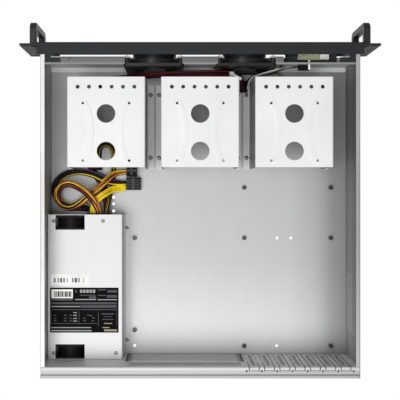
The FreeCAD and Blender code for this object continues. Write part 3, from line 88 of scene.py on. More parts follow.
def mesh_from(bm, name, finishes=()):
    """Closes a shape under construction into a named mesh in its finishes."""
    mesh = bpy.data.meshes.new(name)
    bm.to_mesh(mesh)
    bm.free()
    for finish in finishes:
        mesh.materials.append(finish)
    return mesh


def plain_mesh(holder):
    """What a holder's curve or modifiers come to. The holder itself goes."""
    bpy.context.view_layer.update()
    graph = bpy.context.evaluated_depsgraph_get()
    mesh = bpy.data.meshes.new_from_object(holder.evaluated_get(graph))
    bpy.data.objects.remove(holder)
    return mesh


def circle_of(bm, radius, height, sides):
    """A loop of points round the Z axis."""
    turns = [2 * math.pi * k / sides for k in range(sides)]
    return [bm.verts.new((radius * math.cos(turn), radius * math.sin(turn), height))
            for turn in turns]


def join_loops(bm, near, far):
    """The faces between two loops of as many points."""
    count = len(near)
    return [bm.faces.new((near[k], near[(k + 1) % count], far[(k + 1) % count], far[k]))
            for k in range(count)]


# ---- camera and light ---------------------------------------------------------------

def place_camera():
    data = bpy.data.cameras.new("overhead_camera")
    data.sensor_width = 36.0
    data.lens = 69.4
    data.shift_x = 0.055
    data.shift_y = -0.0125
    camera = in_scene("overhead_camera", data)
    camera.location = (0.0296, -0.006, 1.112)
    camera.rotation_euler = (0.0, 0.0, math.pi)
    bpy.context.scene.camera = camera


def add_softbox(name, place, aim, size, power):
    data = bpy.data.lights.new(name, "AREA")
    data.shape = "RECTANGLE"
    data.size, data.size_y = size
    data.energy = power
    lamp = in_scene(name, data)
    lamp.location = place
    lamp.rotation_euler = (Vector(aim) - Vector(place)).to_track_quat("-Z", "Y").to_euler()


def light_studio():
    """An even room that the camera sees as a pale backdrop, and one large softbox overhead."""
    world = bpy.data.worlds.new("pale_studio")
    world.use_nodes = True
    tree = world.node_tree
    tree.nodes.clear()
    out = tree.nodes.new("ShaderNodeOutputWorld")
    room = tree.nodes.new("ShaderNodeBackground")
    room.inputs["Color"].default_value = (1.0, 1.0, 1.0, 1)
    room.inputs["Strength"].default_value = 0.13
    backdrop = tree.nodes.new("ShaderNodeBackground")
    backdrop.inputs["Strength"].default_value = 1.0
    rays = tree.nodes.new("ShaderNodeLightPath")
    mix = tree.nodes.new("ShaderNodeMixShader")
    tree.links.new(rays.outputs["Is Camera Ray"], mix.inputs["Fac"])
    tree.links.new(room.outputs[0], mix.inputs[1])
    tree.links.new(backdrop.outputs[0], mix.inputs[2])
    tree.links.new(mix.outputs[0], out.inputs["Surface"])
    bpy.context.scene.world = world
    add_softbox("overhead_softbox", place=(0.30, 0.45, 2.00), aim=(0.05, 0.10, 0.0),
                size=(1.7, 1.3), power=46)
    bpy.context.scene.view_settings.view_transform = "Standard"


place_camera()
light_studio()


# ---- shader helpers -----------------------------------------------------------------

class Finish:
    """A node material under construction: one principled shader with patterns feeding it."""

    def __init__(self, name, colour, roughness, metallic=0.0, **sockets):
        self.material = bpy.data.materials.new(name)
        self.material.use_nodes = True
        self.tree = self.material.node_tree
        self.tree.nodes.clear()
        self.out = self.tree.nodes.new("ShaderNodeOutputMaterial")
        self.shader = self.tree.nodes.new("ShaderNodeBsdfPrincipled")
        self.link(self.shader.outputs[0], self.out.inputs["Surface"])
        self.shader.inputs["Base Color"].default_value = (*colour, 1)
        self.shader.inputs["Roughness"].default_value = roughness
        self.shader.inputs["Metallic"].default_value = metallic
        for socket, value in sockets.items():
            self.shader.inputs[socket.replace("_", " ")].default_value = value
        self.place = self.tree.nodes.new("ShaderNodeTexCoord").outputs["Object"]

    def node(self, kind, **values):
        made = self.tree.nodes.new(kind)
        for key, value in values.items():
            if key in made.inputs:
                made.inputs[key].default_value = value
            else:
                setattr(made, key, value)
        return made

    def link(self, source, target):
        self.tree.links.new(source, target)

    def feed(self, sockets, values):
        """Gives each socket its value, which is a number, a colour or another node's output."""
        for socket, value in zip(sockets, values):
            if isinstance(value, bpy.types.NodeSocket):
                self.link(value, socket)
            else:
                socket.default_value = value

    def along(self, axis):
        """How far along one of the object's axes a point lies."""
        split = self.node("ShaderNodeSeparateXYZ")
        self.link(self.place, split.inputs[0])
        return split.outputs[axis]

    def maths(self, operation, *values):
        made = self.node("ShaderNodeMath", operation=operation)
        self.feed(made.inputs, values)
        return made.outputs[0]

    def map_range(self, value, low, high, to_low=0.0, to_high=1.0, **settings):
        made = self.node("ShaderNodeMapRange", **settings)
        names = ("Value", "From Min", "From Max", "To Min", "To Max")
        self.feed([made.inputs[name] for name in names], (value, low, high, to_low, to_high))
        return made.outputs["Result"]

    def noise(self, scale, detail, stretch=(1, 1, 1), roughness=0.55):
        mapping = self.node("ShaderNodeMapping", Scale=stretch)
        self.link(self.place, mapping.inputs["Vector"])
        made = self.node("ShaderNodeTexNoise", Scale=scale, Detail=detail, Roughness=roughness)
        self.link(mapping.outputs["Vector"], made.inputs["Vector"])
        return made.outputs["Fac"]

    def ramp(self, factor, stops):
        made = self.node("ShaderNodeValToRGB")
        elements = made.color_ramp.elements
        while len(elements) < len(stops):
            elements.new(0.5)
        for element, (position, colour) in zip(elements, stops):
            element.position = position
            element.color = (*colour, 1)
        self.link(factor, made.inputs["Fac"])
        return made.outputs["Color"]

    def mix(self, factor, first, second, blend="MIX"):
        made = self.node("ShaderNodeMix", data_type="RGBA", blend_type=blend)
        self.feed([s for s in made.inputs if s.enabled], (factor, first, second))
        return [s for s in made.outputs if s.enabled][0]

    def colour(self, socket):
        self.link(socket, self.shader.inputs["Base Color"])

    def roughness(self, factor, low, high):
        """Spreads a noise, most of which lies between 0.3 and 0.7, over a range of roughness."""
        self.link(self.map_range(factor, 0.3, 0.7, low, high), self.shader.inputs["Roughness"])

    def bump(self, height, distance, strength):
        made = self.node("ShaderNodeBump", Strength=strength, Distance=distance)
        self.link(height, made.inputs["Height"])
        self.link(made.outputs["Normal"], self.shader.inputs["Normal"])


def shade(base, share):
    return tuple(min(1.0, c * share) for c in base)


def neutral(tone):
    return (tone, tone, tone)


def shaded_in_corners(made, colour, least):
    """Paints shade into a colour where surfaces within reach close it in."""
    reach = 0.14
    shut_in = made.node("ShaderNodeAmbientOcclusion", samples=6, Distance=reach)
    stops = [(0.06, neutral(least)), (0.42, neutral(1.0))]
    return made.mix(1.0, colour, made.ramp(shut_in.outputs["AO"], stops), "MULTIPLY")


def toned_from(made, colour, axis, start, span, bands):
    """Multiplies a colour along an axis to paint light and shade: each band is (how far past the
    start, share).
    """
    share = made.map_range(made.along(axis), start, start + span)
    stops = [(place / span, neutral(tone)) for place, tone in bands]
    return made.mix(1.0, colour, made.ramp(share, stops), "MULTIPLY")


# Where the case begins on each axis and how far it goes, rounded outwards.
CASE_SPANS = {"X": (-0.22, 0.44), "Y": (-0.22, 0.45), "Z": (0.0, 0.1)}


def toned_along(made, colour, axis, bands):
    """The same over the whole case: each band is (place on the axis, share)."""
    start, span = CASE_SPANS[axis]
    return toned_from(made, colour, axis, start, span,
                      [(place - start, tone) for place, tone in bands])


# A drawn sheet's grain: stretched along Y or along X, how fine it is, and its depth in metres.
DRAWN_BACK, DRAWN_ACROSS = (1.0, 0.04, 1.0), (0.04, 1.0, 1.0)
DRAWN_SCALE, DRAWN_DEPTH = 1500, 0.00003


def rolled_steel(name, base, grain=DRAWN_BACK, metallic=0.2, roughness=0.52, least=None, **bands):
    """Zinc-coated sheet: drawn grain one way, cloudy patches, faint scuffs, and painted light and
    shade in bands and corners where asked.
    """
    made = Finish(name, base, roughness, metallic)
    clouds = made.noise(9, 4)
    streaks = made.noise(DRAWN_SCALE, 2, grain)
    scuffs = made.noise(60, 6, (1, 0.25, 1), 0.7)
    tone = made.ramp(clouds, [(0.3, shade(base, 0.985)), (0.7, shade(base, 1.015))])
    drawn = made.ramp(streaks, [(0.25, neutral(0.97)), (0.75, neutral(1.02))])
    skin = made.mix(1.0, tone, drawn, "MULTIPLY")
    for axis, shares in bands.items():
        skin = toned_along(made, skin, axis, shares)
    if least:
        skin = shaded_in_corners(made, skin, least)
    made.colour(skin)
    made.roughness(scuffs, roughness - 0.01, roughness + 0.02)
    made.bump(streaks, DRAWN_DEPTH, 0.5)
    return made.material


def powder_coat(name, base, roughness, grain=2600, height=0.00006, heights=None):
    """Sprayed powder paint with a fine orange-peel skin, and painted shade by height where asked.
    """
    made = Finish(name, base, roughness, 0.0, Specular_IOR_Level=0.3)
    peel = made.noise(grain, 2)
    cloud = made.noise(14, 3)
    skin = made.ramp(cloud, [(0.3, shade(base, 0.96)), (0.7, shade(base, 1.04))])
    made.colour(toned_along(made, skin, "Z", heights) if heights else skin)
    made.roughness(peel, roughness - 0.05, roughness + 0.08)
    made.bump(peel, height, 0.6)
    return made.material


def moulded(name, base, roughness, grain=1800, height=0.00004, **sockets):
    """Moulded plastic with a faint spark-eroded grain and a little flow shading."""
    made = Finish(name, base, roughness, 0.0, **sockets)
    texture = made.noise(grain, 3)
    flow = made.noise(22, 2, (1, 0.4, 1))
    made.colour(made.ramp(flow, [(0.3, shade(base, 0.88)), (0.7, shade(base, 1.1))]))
    made.roughness(texture, max(roughness - 0.06, 0.03), roughness + 0.08)
    made.bump(texture, height, 0.5)
    return made.material


def bright_metal(name, base, roughness, stretch=(1, 1, 1)):
    """Bare or plated metal with fine wear marks."""
    made = Finish(name, base, roughness, 1.0)
    marks = made.noise(900, 3, stretch)
    made.colour(made.ramp(marks, [(0.3, shade(base, 0.9)), (0.7, base)]))
    made.roughness(marks, roughness - 0.06, roughness + 0.1)
    made.bump(marks, 0.00002, 0.4)
    return made.material


def slot_gap_shade(made):
    """Grey painted shade where one slot cover ends and the next begins, white beside the slots and
    behind.
    """
    from_slot = made.maths("SUBTRACT", made.along("X"), FIRST_SLOT)
    away = made.maths("PINGPONG", from_slot, SLOT_PITCH / 2)
    gaps = made.ramp(made.map_range(away, 0.0, SLOT_PITCH / 2), [
        (0.555, neutral(1.0)), (0.585, neutral(0.3)), (0.70, neutral(0.3)), (0.73, neutral(1.0))])
    before = made.maths("GREATER_THAN", from_slot, SLOT_PITCH / 2)
    past = made.maths("LESS_THAN", from_slot, SLOTS_END)
    lip = made.maths("GREATER_THAN", made.along("Y"), FLANGE_LIP)
    unshaded = made.maths("MAXIMUM", made.maths("MAXIMUM", before, past), lip)
    return made.mix(unshaded, gaps, (1, 1, 1, 1))


def rear_sheet():
    """The rear panel's sheet: painted shade in its slits and grooves, on its flange and along the
    flange's step.
    """
    base = (0.95, 0.95, 0.955)
    flange_height = 0.0862
    edge = FLANGE_STEP - REAR_WALL
    made = Finish("satin_zinc_rear", base, 0.52, 0.2)
    streaks = made.noise(DRAWN_SCALE, 2, DRAWN_ACROSS)
    skin = made.ramp(streaks, [(0.25, shade(base, 0.97)), (0.75, base)])
    wall = toned_from(made, skin, "Y", REAR_WALL, 0.0015, [
        (0.00010, 1.0), (0.00020, 0.10), (0.00042, 0.10), (0.00048, 0.50), (0.00052, 0.50),
        (0.00058, 0.10), (0.00108, 0.10), (0.00116, 0.9)])
    flange = toned_from(made, skin, "Y", REAR_WALL, 0.017, [
        (0.0009, 0.75), (0.0016, 0.60), (0.0042, 0.55), (0.0048, 0.44), (edge - 0.0024, 0.42),
        (edge - 0.0016, 0.17), (edge + 0.0004, 0.17), (edge + 0.0010, 0.40)])
    high = made.maths("GREATER_THAN", made.along("Z"), flange_height)
    sheet = made.mix(high, wall, flange)
    made.colour(made.mix(1.0, sheet, slot_gap_shade(made), "MULTIPLY"))
    made.bump(streaks, DRAWN_DEPTH, 0.5)
    return made.material


# Painted light and shade, up from the floor to the rims, then across towards the supply, then from
# front to rear; least paints shade into the corners.
ZINC_TRAY = rolled_steel(
    "satin_zinc_tray", (0.97, 0.97, 0.975), least=0.5,
    Z=[(0.0035, 0.60), (0.006, 0.82), (0.035, 0.86), (0.050, 0.62), (0.082, 0.55),
       (0.0865, 0.80)],
    X=[(-0.2125, 0.60), (-0.2104, 0.53), (-0.1933, 0.52), (-0.1876, 0.57), (-0.182, 0.66),
       (-0.176, 0.73), (-0.1705, 0.81), (-0.159, 0.88), (-0.130, 1.0), (0.2175, 1.0)],
    Y=[(-0.215, 0.97), (-0.080, 0.94), (-0.030, 0.78), (0.040, 0.77), (0.090, 0.79),
       (0.145, 0.91), (0.195, 1.0)])
# Shaded towards its two ends.
BLANK_SHEET = rolled_steel(
    "shaded_blank_sheet", (0.68, 0.68, 0.687), DRAWN_ACROSS,
    X=[(-0.0588, 0.12), (-0.0550, 0.60), (-0.0500, 1.0), (0.0910, 1.0), (0.0960, 0.60),
       (0.0998, 0.12)])
ZINC = rolled_steel("satin_zinc_sheet", (0.56, 0.56, 0.565))
ZINC_REAR = rear_sheet()
# Painted shade on the top of the bulkhead's flange.
ZINC_FRONT = rolled_steel("satin_zinc_front", (0.62, 0.62, 0.625), DRAWN_ACROSS,
                          Z=[(0.0866, 1.0), (0.0879, 0.21)])
SUPPLY_SHEET = rolled_steel("bright_supply_sheet", (0.63, 0.63, 0.635), DRAWN_ACROSS, 0.1, 0.5)
# Painted shade by height: darker on the cages' sides than at their feet and on their tops.
PALE_COAT = powder_coat("pale_cage_coat", (0.80, 0.80, 0.805), 0.42, 3000, 0.00004,
                        [(0.004, 0.8), (0.006, 0.38), (0.080, 0.38), (0.0835, 1.0)])
BLACK_COAT = powder_coat("black_panel_coat", (0.016, 0.0165, 0.018), 0.6)
HANDLE_COAT = powder_coat("handle_satin_coat", (0.022, 0.022, 0.024), 0.42, 3200, 0.00003)
GLOSS_BLACK = moulded("glossy_fan_black", (0.012, 0.012, 0.013), 0.3, 1400, 0.00001,
                      Specular_IOR_Level=0.35)
MATT_BLACK = moulded("matt_black_plastic", (0.006, 0.006, 0.0065), 0.42, Specular_IOR_Level=0.05)
NYLON = moulded("milky_nylon", (0.80, 0.80, 0.76), 0.38, Subsurface_Weight=0.08)
LENS = moulded("milky_lens", (0.62, 0.70, 0.64), 0.18, 800, 0.00001)
BOARD_OLIVE = moulded("lacquered_board", (0.27, 0.28, 0.19), 0.3, 300, 0.00002)
TAPE = moulded("winding_tape", (0.70, 0.52, 0.08), 0.35, 500, 0.00003)
SLEEVE = moulded("capacitor_sleeve", (0.03, 0.03, 0.05), 0.25)
STEEL_SCREW = bright_metal("plated_screw_steel", (0.62, 0.62, 0.64), 0.28)
DARK_SCREW = bright_metal("blackened_screw_steel", (0.06, 0.06, 0.06), 0.4)
POST_STEEL = bright_metal("grey_post_steel", (0.045, 0.045, 0.047), 0.32)
DULL_STEEL = bright_metal("dull_steel", (0.17, 0.17, 0.175), 0.4)
NICKEL = bright_metal("nickel_shell", (0.72, 0.71, 0.68), 0.2, (1, 0.1, 1))
BARE_ALUMINIUM = bright_metal("bare_aluminium", (0.80, 0.81, 0.82), 0.3, (1, 0.08, 1))

CAD_FINISH = {
    "chassis_tray": ZINC_TRAY, "rear_panel": ZINC_REAR, "aperture_blank": BLANK_SHEET,
    "front_bulkhead": ZINC_FRONT, "control_bracket": BLACK_COAT, "supply_bracket": ZINC,
    "front_panel": BLACK_COAT, "ear_bracket_left": BLACK_COAT, "ear_bracket_right": BLACK_COAT,
    "handle_left": HANDLE_COAT, "handle_right": HANDLE_COAT, "handle_screws": DARK_SCREW,
    "drive_cage_left": PALE_COAT, "drive_cage_centre": PALE_COAT, "drive_cage_right": PALE_COAT,
    "cage_screws": DULL_STEEL, "bracket_screws": DULL_STEEL, "supply_screws": DULL_STEEL,
    "fan_screws": STEEL_SCREW,
    "fan_frame_left": GLOSS_BLACK, "fan_frame_right": GLOSS_BLACK,
    "fan_rotor_left": GLOSS_BLACK, "fan_rotor_right": GLOSS_BLACK,
    "supply_base": SUPPLY_SHEET, "supply_cover": SUPPLY_SHEET,
    "supply_fan_frame_front": MATT_BLACK, "supply_fan_frame_rear": MATT_BLACK,
    "supply_fan_rotor_front": MATT_BLACK, "supply_fan_rotor_rear": MATT_BLACK,
    "mains_inlet": MATT_BLACK, "cable_bushing": MATT_BLACK,
    "supply_board": BOARD_OLIVE, "supply_transformer": TAPE, "supply_capacitors": SLEEVE,
    "supply_heat_sinks": BARE_ALUMINIUM,
    "control_board": BOARD_OLIVE, "header_socket": NYLON, "usb_sockets": NICKEL,
    "power_button": MATT_BLACK, "reset_button": MATT_BLACK, "push_switches": MATT_BLACK,
    "status_lights": LENS,
    "board_connector": MATT_BLACK, "processor_connector": MATT_BLACK, "fan_plugs": NYLON,
    "fan_supply_plug": MATT_BLACK, "header_plugs": MATT_BLACK, "panel_plug": MATT_BLACK,
    "drive_plug": MATT_BLACK, "cable_tie": NYLON, "board_standoffs": POST_STEEL,
}
for node_name, finish in CAD_FINISH.items():
    mesh = nodes[node_name].data
    mesh.materials.clear()
    mesh.materials.append(finish)


# ---- wires --------------------------------------------------------------------------

def insulation(name, colour):
    """A wire's plastic coat, a little uneven in tone."""
    made = Finish(name, colour, 0.34, 0.0, Specular_IOR_Level=0.12)
    patches = made.noise(240, 3)
    fine = made.noise(2200, 2)
    made.colour(made.ramp(patches, [(0.3, shade(colour, 0.8)), (0.7, shade(colour, 1.1))]))
    made.roughness(fine, 0.28, 0.42)
    made.bump(fine, 0.00003, 0.4)
    return made.material


WIRE = {
    "black": insulation("black_wire", (0.008, 0.008, 0.009)),
    "yellow": insulation("yellow_wire", (0.93, 0.68, 0.02)),
    "orange": insulation("orange_wire", (0.62, 0.22, 0.05)),
    "red": insulation("red_wire", (0.50, 0.03, 0.02)),
    "white": insulation("white_wire", (0.78, 0.77, 0.72)),
    "wine": insulation("dark_red_wire", (0.17, 0.015, 0.02)),
    "brown": insulation("brown_wire", (0.16, 0.06, 0.035)),
    "grey": insulation("grey_wire", (0.30, 0.30, 0.30)),
    "violet": insulation("violet_wire", (0.10, 0.05, 0.16)),
    "blue": insulation("blue_wire", (0.03, 0.05, 0.14)),
}

# Control points of each bundle: across, depth behind the front panel, height, in millimetres.
PROCESSOR_ROUTE = [
    (139.0, 233.6, 14.5), (154.5, 222.5, 14.2), (170.0, 220.5, 8.5), (186.0, 221.5, 6.0),
    (199.5, 214.5, 5.0), (206.5, 201.5, 5.0), (205.5, 187.0, 5.0), (196.0, 176.0, 5.5),
    (181.0, 170.5, 7.0), (164.5, 170.5, 9.5), (149.0, 174.5, 12.0), (135.0, 181.5, 12.0),
    (121.0, 186.5, 8.0), (103.6, 186.5, 8.0)]
BOARD_ROUTE = [
    (140.0, 233.6, 23.0), (142.5, 221.5, 27.0), (149.5, 209.0, 30.0), (161.0, 197.0, 31.0),
    (177.9, 187.8, 29.0), (190.1, 187.8, 26.0), (199.4, 195.6, 22.0), (201.5, 207.6, 18.5),
    (195.4, 218.1, 15.8), (184.0, 222.3, 14.8), (172.6, 218.1, 14.5), (159.5, 207.5, 14.5),
    (146.5, 196.5, 16.0), (133.5, 185.5, 20.5), (119.5, 171.0, 8.0), (103.2, 171.0, 8.0)]
YELLOW_ROUTE = [
    (150.0, 233.6, 22.0), (150.0, 221.5, 22.5), (143.5, 209.5, 22.5), (132.5, 201.0, 22.0),
    (119.5, 193.2, 8.0), (103.6, 193.2, 8.0)]
FAN_SUPPLY_ROUTE = [
    (131.0, 233.6, 14.5), (132.0, 221.0, 11.8), (133.5, 207.0, 5.5), (135.5, 192.0, 4.2),
    (144.5, 179.5, 4.2), (154.5, 166.5, 4.2), (157.0, 150.0, 4.2), (158.5, 130.0, 4.2),
    (158.5, 108.0, 4.2), (157.0, 84.0, 4.2), (154.0, 62.0, 4.8), (147.0, 48.0, 7.5),
    (134.5, 40.0, 12.0), (118.0, 37.5, 17.5), (99.0, 37.5, 26.0), (77.0, 37.5, 37.5),
    (55.0, 37.5, 48.0), (32.0, 37.5, 55.5), (8.0, 37.5, 58.5), (-18.0, 37.0, 57.5),
    (-36.0, 36.8, 55.0), (-48.5, 38.0, 50.5), (-57.0, 40.5, 42.5), (-60.0, 46.5, 33.0),
    (-60.7, 51.6, 24.0), (-60.7, 51.6, 14.0)]
DRIVE_ROUTE = [
    (131.0, 233.6, 23.0), (130.2, 222.0, 20.5), (128.0, 209.0, 11.5), (126.0, 196.0, 4.4),
    (123.8, 181.0, 3.0), (122.2, 166.0, 3.0), (122.0, 151.5, 3.0), (123.2, 138.5, 3.0),
    (128.6, 131.8, 3.0), (137.2, 131.6, 3.2), (142.4, 137.4, 3.4), (143.0, 147.6, 3.6),
    (143.0, 156.0, 3.6)]
USB_ROUTE = [
    (-131.0, 15.0, 78.4), (-123.0, 15.0, 78.4), (-115.5, 18.8, 76.6), (-111.5, 26.5, 73.0),
    (-108.0, 34.5, 69.3), (-98.0, 38.2, 64.5), (-86.0, 39.0, 56.5), (-77.0, 39.0, 47.5),
    (-71.3, 40.2, 37.0), (-67.0, 44.6, 25.0), (-67.0, 44.6, 13.6)]
PANEL_ROUTE = [
    (-132.0, 31.0, 75.0), (-119.5, 31.0, 75.0), (-106.0, 35.5, 74.0), (-92.0, 38.5, 69.5),
    (-80.0, 40.2, 61.5), (-71.0, 41.0, 50.5), (-67.6, 46.2, 38.5), (-67.0, 53.2, 26.5),
    (-67.0, 53.2, 13.6)]
# From where each fan's lead comes out, which is this far from the fan's middle.
FAN_LEAD_EXIT = 40.0
FAN_LEAD_STEPS = [
    (0.0, 29.4, 16.0), (-7.5, 29.4, 16.0), (-16.5, 33.0, 9.5), (-25.5, 38.0, 3.8),
    (-36.0, 38.0, 3.8)]

WIRE_SIDES = 8
# The share of a bundle's length over which its wires gather, at either end.
GATHERED = 0.08
# A wire's skin stays within this share of the cord's diameter, and this much, of its middle.
REACH_SHARE, REACH_MARGIN = 0.65, 0.0017
# How a wire's drift up and down compares with its drift sideways, and a drift's full turn.
RISE_DRIFT, DRIFT_TURN = 0.8, 6.28


def smooth_line(route):
    """The points of a smooth curve whose control points are the route's."""
    data = bpy.data.curves.new("route_line", "CURVE")
    data.dimensions = "3D"
    data.resolution_u = 10
    spline = data.splines.new("NURBS")
    spline.points.add(len(route) - 1)
    for point, place in zip(spline.points, route):
        point.co = (*spot(*place), 1)
    spline.order_u = 3
    spline.use_endpoint_u = True
    line = plain_mesh(in_scene("route_line", data))
    places = [v.co.copy() for v in line.vertices]
    bpy.data.meshes.remove(line)
    return places


def heading(places, index):
    """Which way a line runs at one of its points."""
    return (places[min(index + 1, len(places) - 1)] - places[max(index - 1, 0)]).normalized()


def add_tube(bm, places, radius, sides, material_index):
    """One closed wire along the places, with flat ends."""
    turns = [2 * math.pi * k / sides for k in range(sides)]
    rings = []
    side = None
    for index, place in enumerate(places):
        along = heading(places, index)
        if side is None:
            side = along.orthogonal().normalized()
        side = (side - along * side.dot(along)).normalized()
        up = along.cross(side)
        rings.append([bm.verts.new(place + radius * (side * math.cos(turn) + up * math.sin(turn)))
                      for turn in turns])
    for near, far in zip(rings, rings[1:]):
        for face in join_loops(bm, near, far):
            face.material_index = material_index
            face.smooth = True
    for end in (list(reversed(rings[0])), rings[-1]):
        bm.faces.new(end).material_index = material_index


def wander(rng, count, share):
    """A slow random drift along a wire."""
    phases = [(rng.uniform(0, DRIFT_TURN), rng.uniform(0.6, 1.6)) for _ in range(2)]
    return [share * sum(math.sin(p + DRIFT_TURN * f * i / max(count - 1, 1))
                        for p, f in phases) / 2 for i in range(count)]


def make_bundle(name, route, wires, wire_radius, spread, twist, seed, diameter, stray):
    """Separate wires that lie side by side along one smooth route, none far from its middle."""
    reach = REACH_SHARE * diameter + REACH_MARGIN - wire_radius
    rng = random.Random(seed)
    places = smooth_line(route)
    count = len(places)
    bm = bmesh.new()
    slots = list(dict.fromkeys(colour for colour, _, _ in wires))
    for colour, across, rise in wires:
        drift_across = wander(rng, count, stray)
        drift_rise = wander(rng, count, stray * RISE_DRIFT)
        path = []
        for i, place in enumerate(places):
            along = heading(places, i)
            side = Vector((along.y, -along.x, 0))
            side = side.normalized() if side.length > 1e-6 else Vector((1, 0, 0))
            up = side.cross(along).normalized()
            t = i / (count - 1)
            turn = twist * t
            a = across + drift_across[i]
            r = rise + drift_rise[i]
            a, r = a * math.cos(turn) - r * math.sin(turn), a * math.sin(turn) + r * math.cos(turn)
            # Half as wide at the very ends, and a little lower.
            gather = min(1.0, t / GATHERED, (1 - t) / GATHERED)
            width = spread[0] * (0.5 + 0.5 * gather)
            height = spread[1] * (0.7 + 0.3 * gather)
            offset = side * a * width + up * r * height
            offset *= min(1.0, reach / max(offset.length, 1e-9))
            point = place + offset
            point.z = max(point.z, FLOOR_CLEAR + wire_radius)
            path.append(point)
        add_tube(bm, path, wire_radius, WIRE_SIDES, slots.index(colour))
    mesh = mesh_from(bm, name, [WIRE[colour] for colour in slots])
    return link_piece(name, mesh), places


def ring_of(colours, layers):
    """Places wires in rings: (how many, ring size) for each layer, in turn."""
    skew = 0.3
    wires = []
    for count, size in layers:
        for k in range(count):
            turn = 2 * math.pi * (k + skew * len(wires)) / count
            wires.append((colours[len(wires) % len(colours)], size * math.cos(turn),
                          size * math.sin(turn)))
    return wires


def ribbon_of(*layers):
    """Places wires in flat layers, lowest first: each is (rise, colours from side to side)."""
    narrowing, waviness = 0.12, 0.25
    wires = []
    for rise, colours in layers:
        reach = 1.0 - narrowing * abs(rise)
        for k, colour in enumerate(colours):
            across = reach * (2 * k / (len(colours) - 1) - 1)
            wires.append((colour, across, rise + waviness * (-1) ** k))
    return wires


def tangle_of(seed, **shares):
    """Places wires anywhere in a flat round, in a mixed order, from how many of each colour."""
    rng = random.Random(seed)
    colours = [colour for colour, count in shares.items() for _ in range(count)]
    rng.shuffle(colours)
    wires = []
    for k, colour in enumerate(colours):
        across = 2 * (k + 0.5) / len(colours) - 1
        wires.append((colour, across, rng.uniform(-1, 1) * math.sqrt(1 - across * across)))
    return wires


def lay_cord(name, node, route, wires, diameter, plugs, far_end="connector", stiffness="medium",
             **strands):
    """A bundle of wires in the place of a cord's solid. The plugs that end it are not used here."""
    piece, places = make_bundle(name, route, wires, diameter=diameter, **strands)
    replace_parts(piece, node)


def lay_all_cords():
    black, yellow = "black", "yellow"
    lay_cord("processor_wires", "processor_cable", PROCESSOR_ROUTE,
             tangle_of(5, black=17, violet=1, blue=1, yellow=1), 0.0064, ["processor_connector"],
             wire_radius=0.0008, spread=(0.0046, 0.0026), twist=0.9, stray=0.35, seed=3)
    lay_cord("board_wires", "board_cable", BOARD_ROUTE,
             tangle_of(9, black=7, yellow=4, orange=4, wine=4, brown=2), 0.005,
             ["board_connector"],
             wire_radius=0.00066, spread=(0.0044, 0.0028), twist=1.6, stray=0.55, seed=8)
    lay_cord("yellow_wires", "yellow_cable", YELLOW_ROUTE,
             ribbon_of((-0.6, [yellow, black, yellow, yellow]), (0.6, [yellow] * 5)), 0.005,
             ["processor_connector"],
             wire_radius=0.00085, spread=(0.0036, 0.0016), twist=0.3, stray=0.1, seed=5)
    lay_cord("fan_supply_wires", "fan_supply_cable", FAN_SUPPLY_ROUTE,
             tangle_of(7, black=8, wine=6), 0.005, ["fan_supply_plug", "cable_tie"],
             wire_radius=0.0007, spread=(0.0044, 0.0018), twist=1.2, stray=0.3, seed=11)
    lay_cord("drive_wires", "drive_cable", DRIVE_ROUTE,
             ribbon_of((-0.6, [black] * 6), (0.5, [black, yellow, black, yellow, black, black])),
             0.0028, ["drive_plug"],
             wire_radius=0.00055, spread=(0.0030, 0.0009), twist=0.6, stray=0.3, seed=6)
    lay_cord("usb_wires", "usb_lead", USB_ROUTE, ring_of([black], [(1, 0.0)]), 0.0036,
             ["header_plugs"],
             wire_radius=0.0017, spread=(0.0001, 0.0001), twist=0.0, stray=0.0, seed=2)
    lay_cord("panel_wires", "panel_lead", PANEL_ROUTE,
             ring_of(["grey", black, black, "white", black], [(5, 0.8)]), 0.003, ["panel_plug"],
             stiffness="limp",
             wire_radius=0.0005, spread=(0.0016, 0.0011), twist=5.0, stray=0.25, seed=4)
    for word, centre in FAN_CENTRES.items():
        route = [(centre - FAN_LEAD_EXIT + x, depth, z) for x, depth, z in FAN_LEAD_STEPS]
        lay_cord("fan_wires_" + word, "fan_lead_" + word, route,
                 ring_of([black, "red", yellow], [(3, 0.8)]), 0.0022, ["fan_plugs"],
                 far_end="plug", stiffness="limp",
                 wire_radius=0.00055, spread=(0.0007, 0.0007), twist=3.0, stray=0.18, seed=9)


lay_all_cords()


# ---- screws -------------------------------------------------------------------------

def cross_cutter():
    """Two crossed wedges, narrower at the foot, that cut a screw head's recess."""
    slot_long, slot_wide, slot_deep, slot_middle, foot_share = 1.12, 0.24, 0.9, 0.75, 0.72
    bm = bmesh.new()
    for turn in (0.0, math.pi / 2):
        wedge = bmesh.ops.create_cube(bm, size=1.0)["verts"]
        for vert in wedge:
            narrow = foot_share if vert.co.z < 0 else 1.0
            vert.co = Vector((vert.co.x * slot_long * narrow, vert.co.y * slot_wide,
                              slot_middle + vert.co.z * slot_deep))
        bmesh.ops.rotate(bm, verts=wedge, cent=(0, 0, 0), matrix=Matrix.Rotation(turn, 3, "Z"))
    return in_scene("cross_cutter", mesh_from(bm, "cross_cutter"))


def pan_head_prototype():
    """A domed head, 1 across its radius and 1 high, with a cross recess, on a short shank."""
    profile = [(0.36, -0.9), (0.40, -0.84), (0.40, 0.0), (0.93, 0.0), (1.0, 0.10), (0.99, 0.42),
               (0.90, 0.70), (0.72, 0.90), (0.45, 1.0)]
    sides = 28
    bm = bmesh.new()
    rings = [circle_of(bm, radius, z, sides) for radius, z in profile]
    for low, high in zip(rings, rings[1:]):
        join_loops(bm, low, high)
    bm.faces.new(rings[-1])
    bm.faces.new(list(reversed(rings[0])))
    bmesh.ops.recalc_face_normals(bm, faces=bm.faces)
    head = in_scene("pan_head", mesh_from(bm, "pan_head"))
    cutter = cross_cutter()
    recess = head.modifiers.new("recess", "BOOLEAN")
    recess.object = cutter
    recess.solver = "EXACT"
    recess.use_self = True
    cut = plain_mesh(head)
    bpy.data.objects.remove(cutter)
    return in_scene("pan_head_cut", cut)


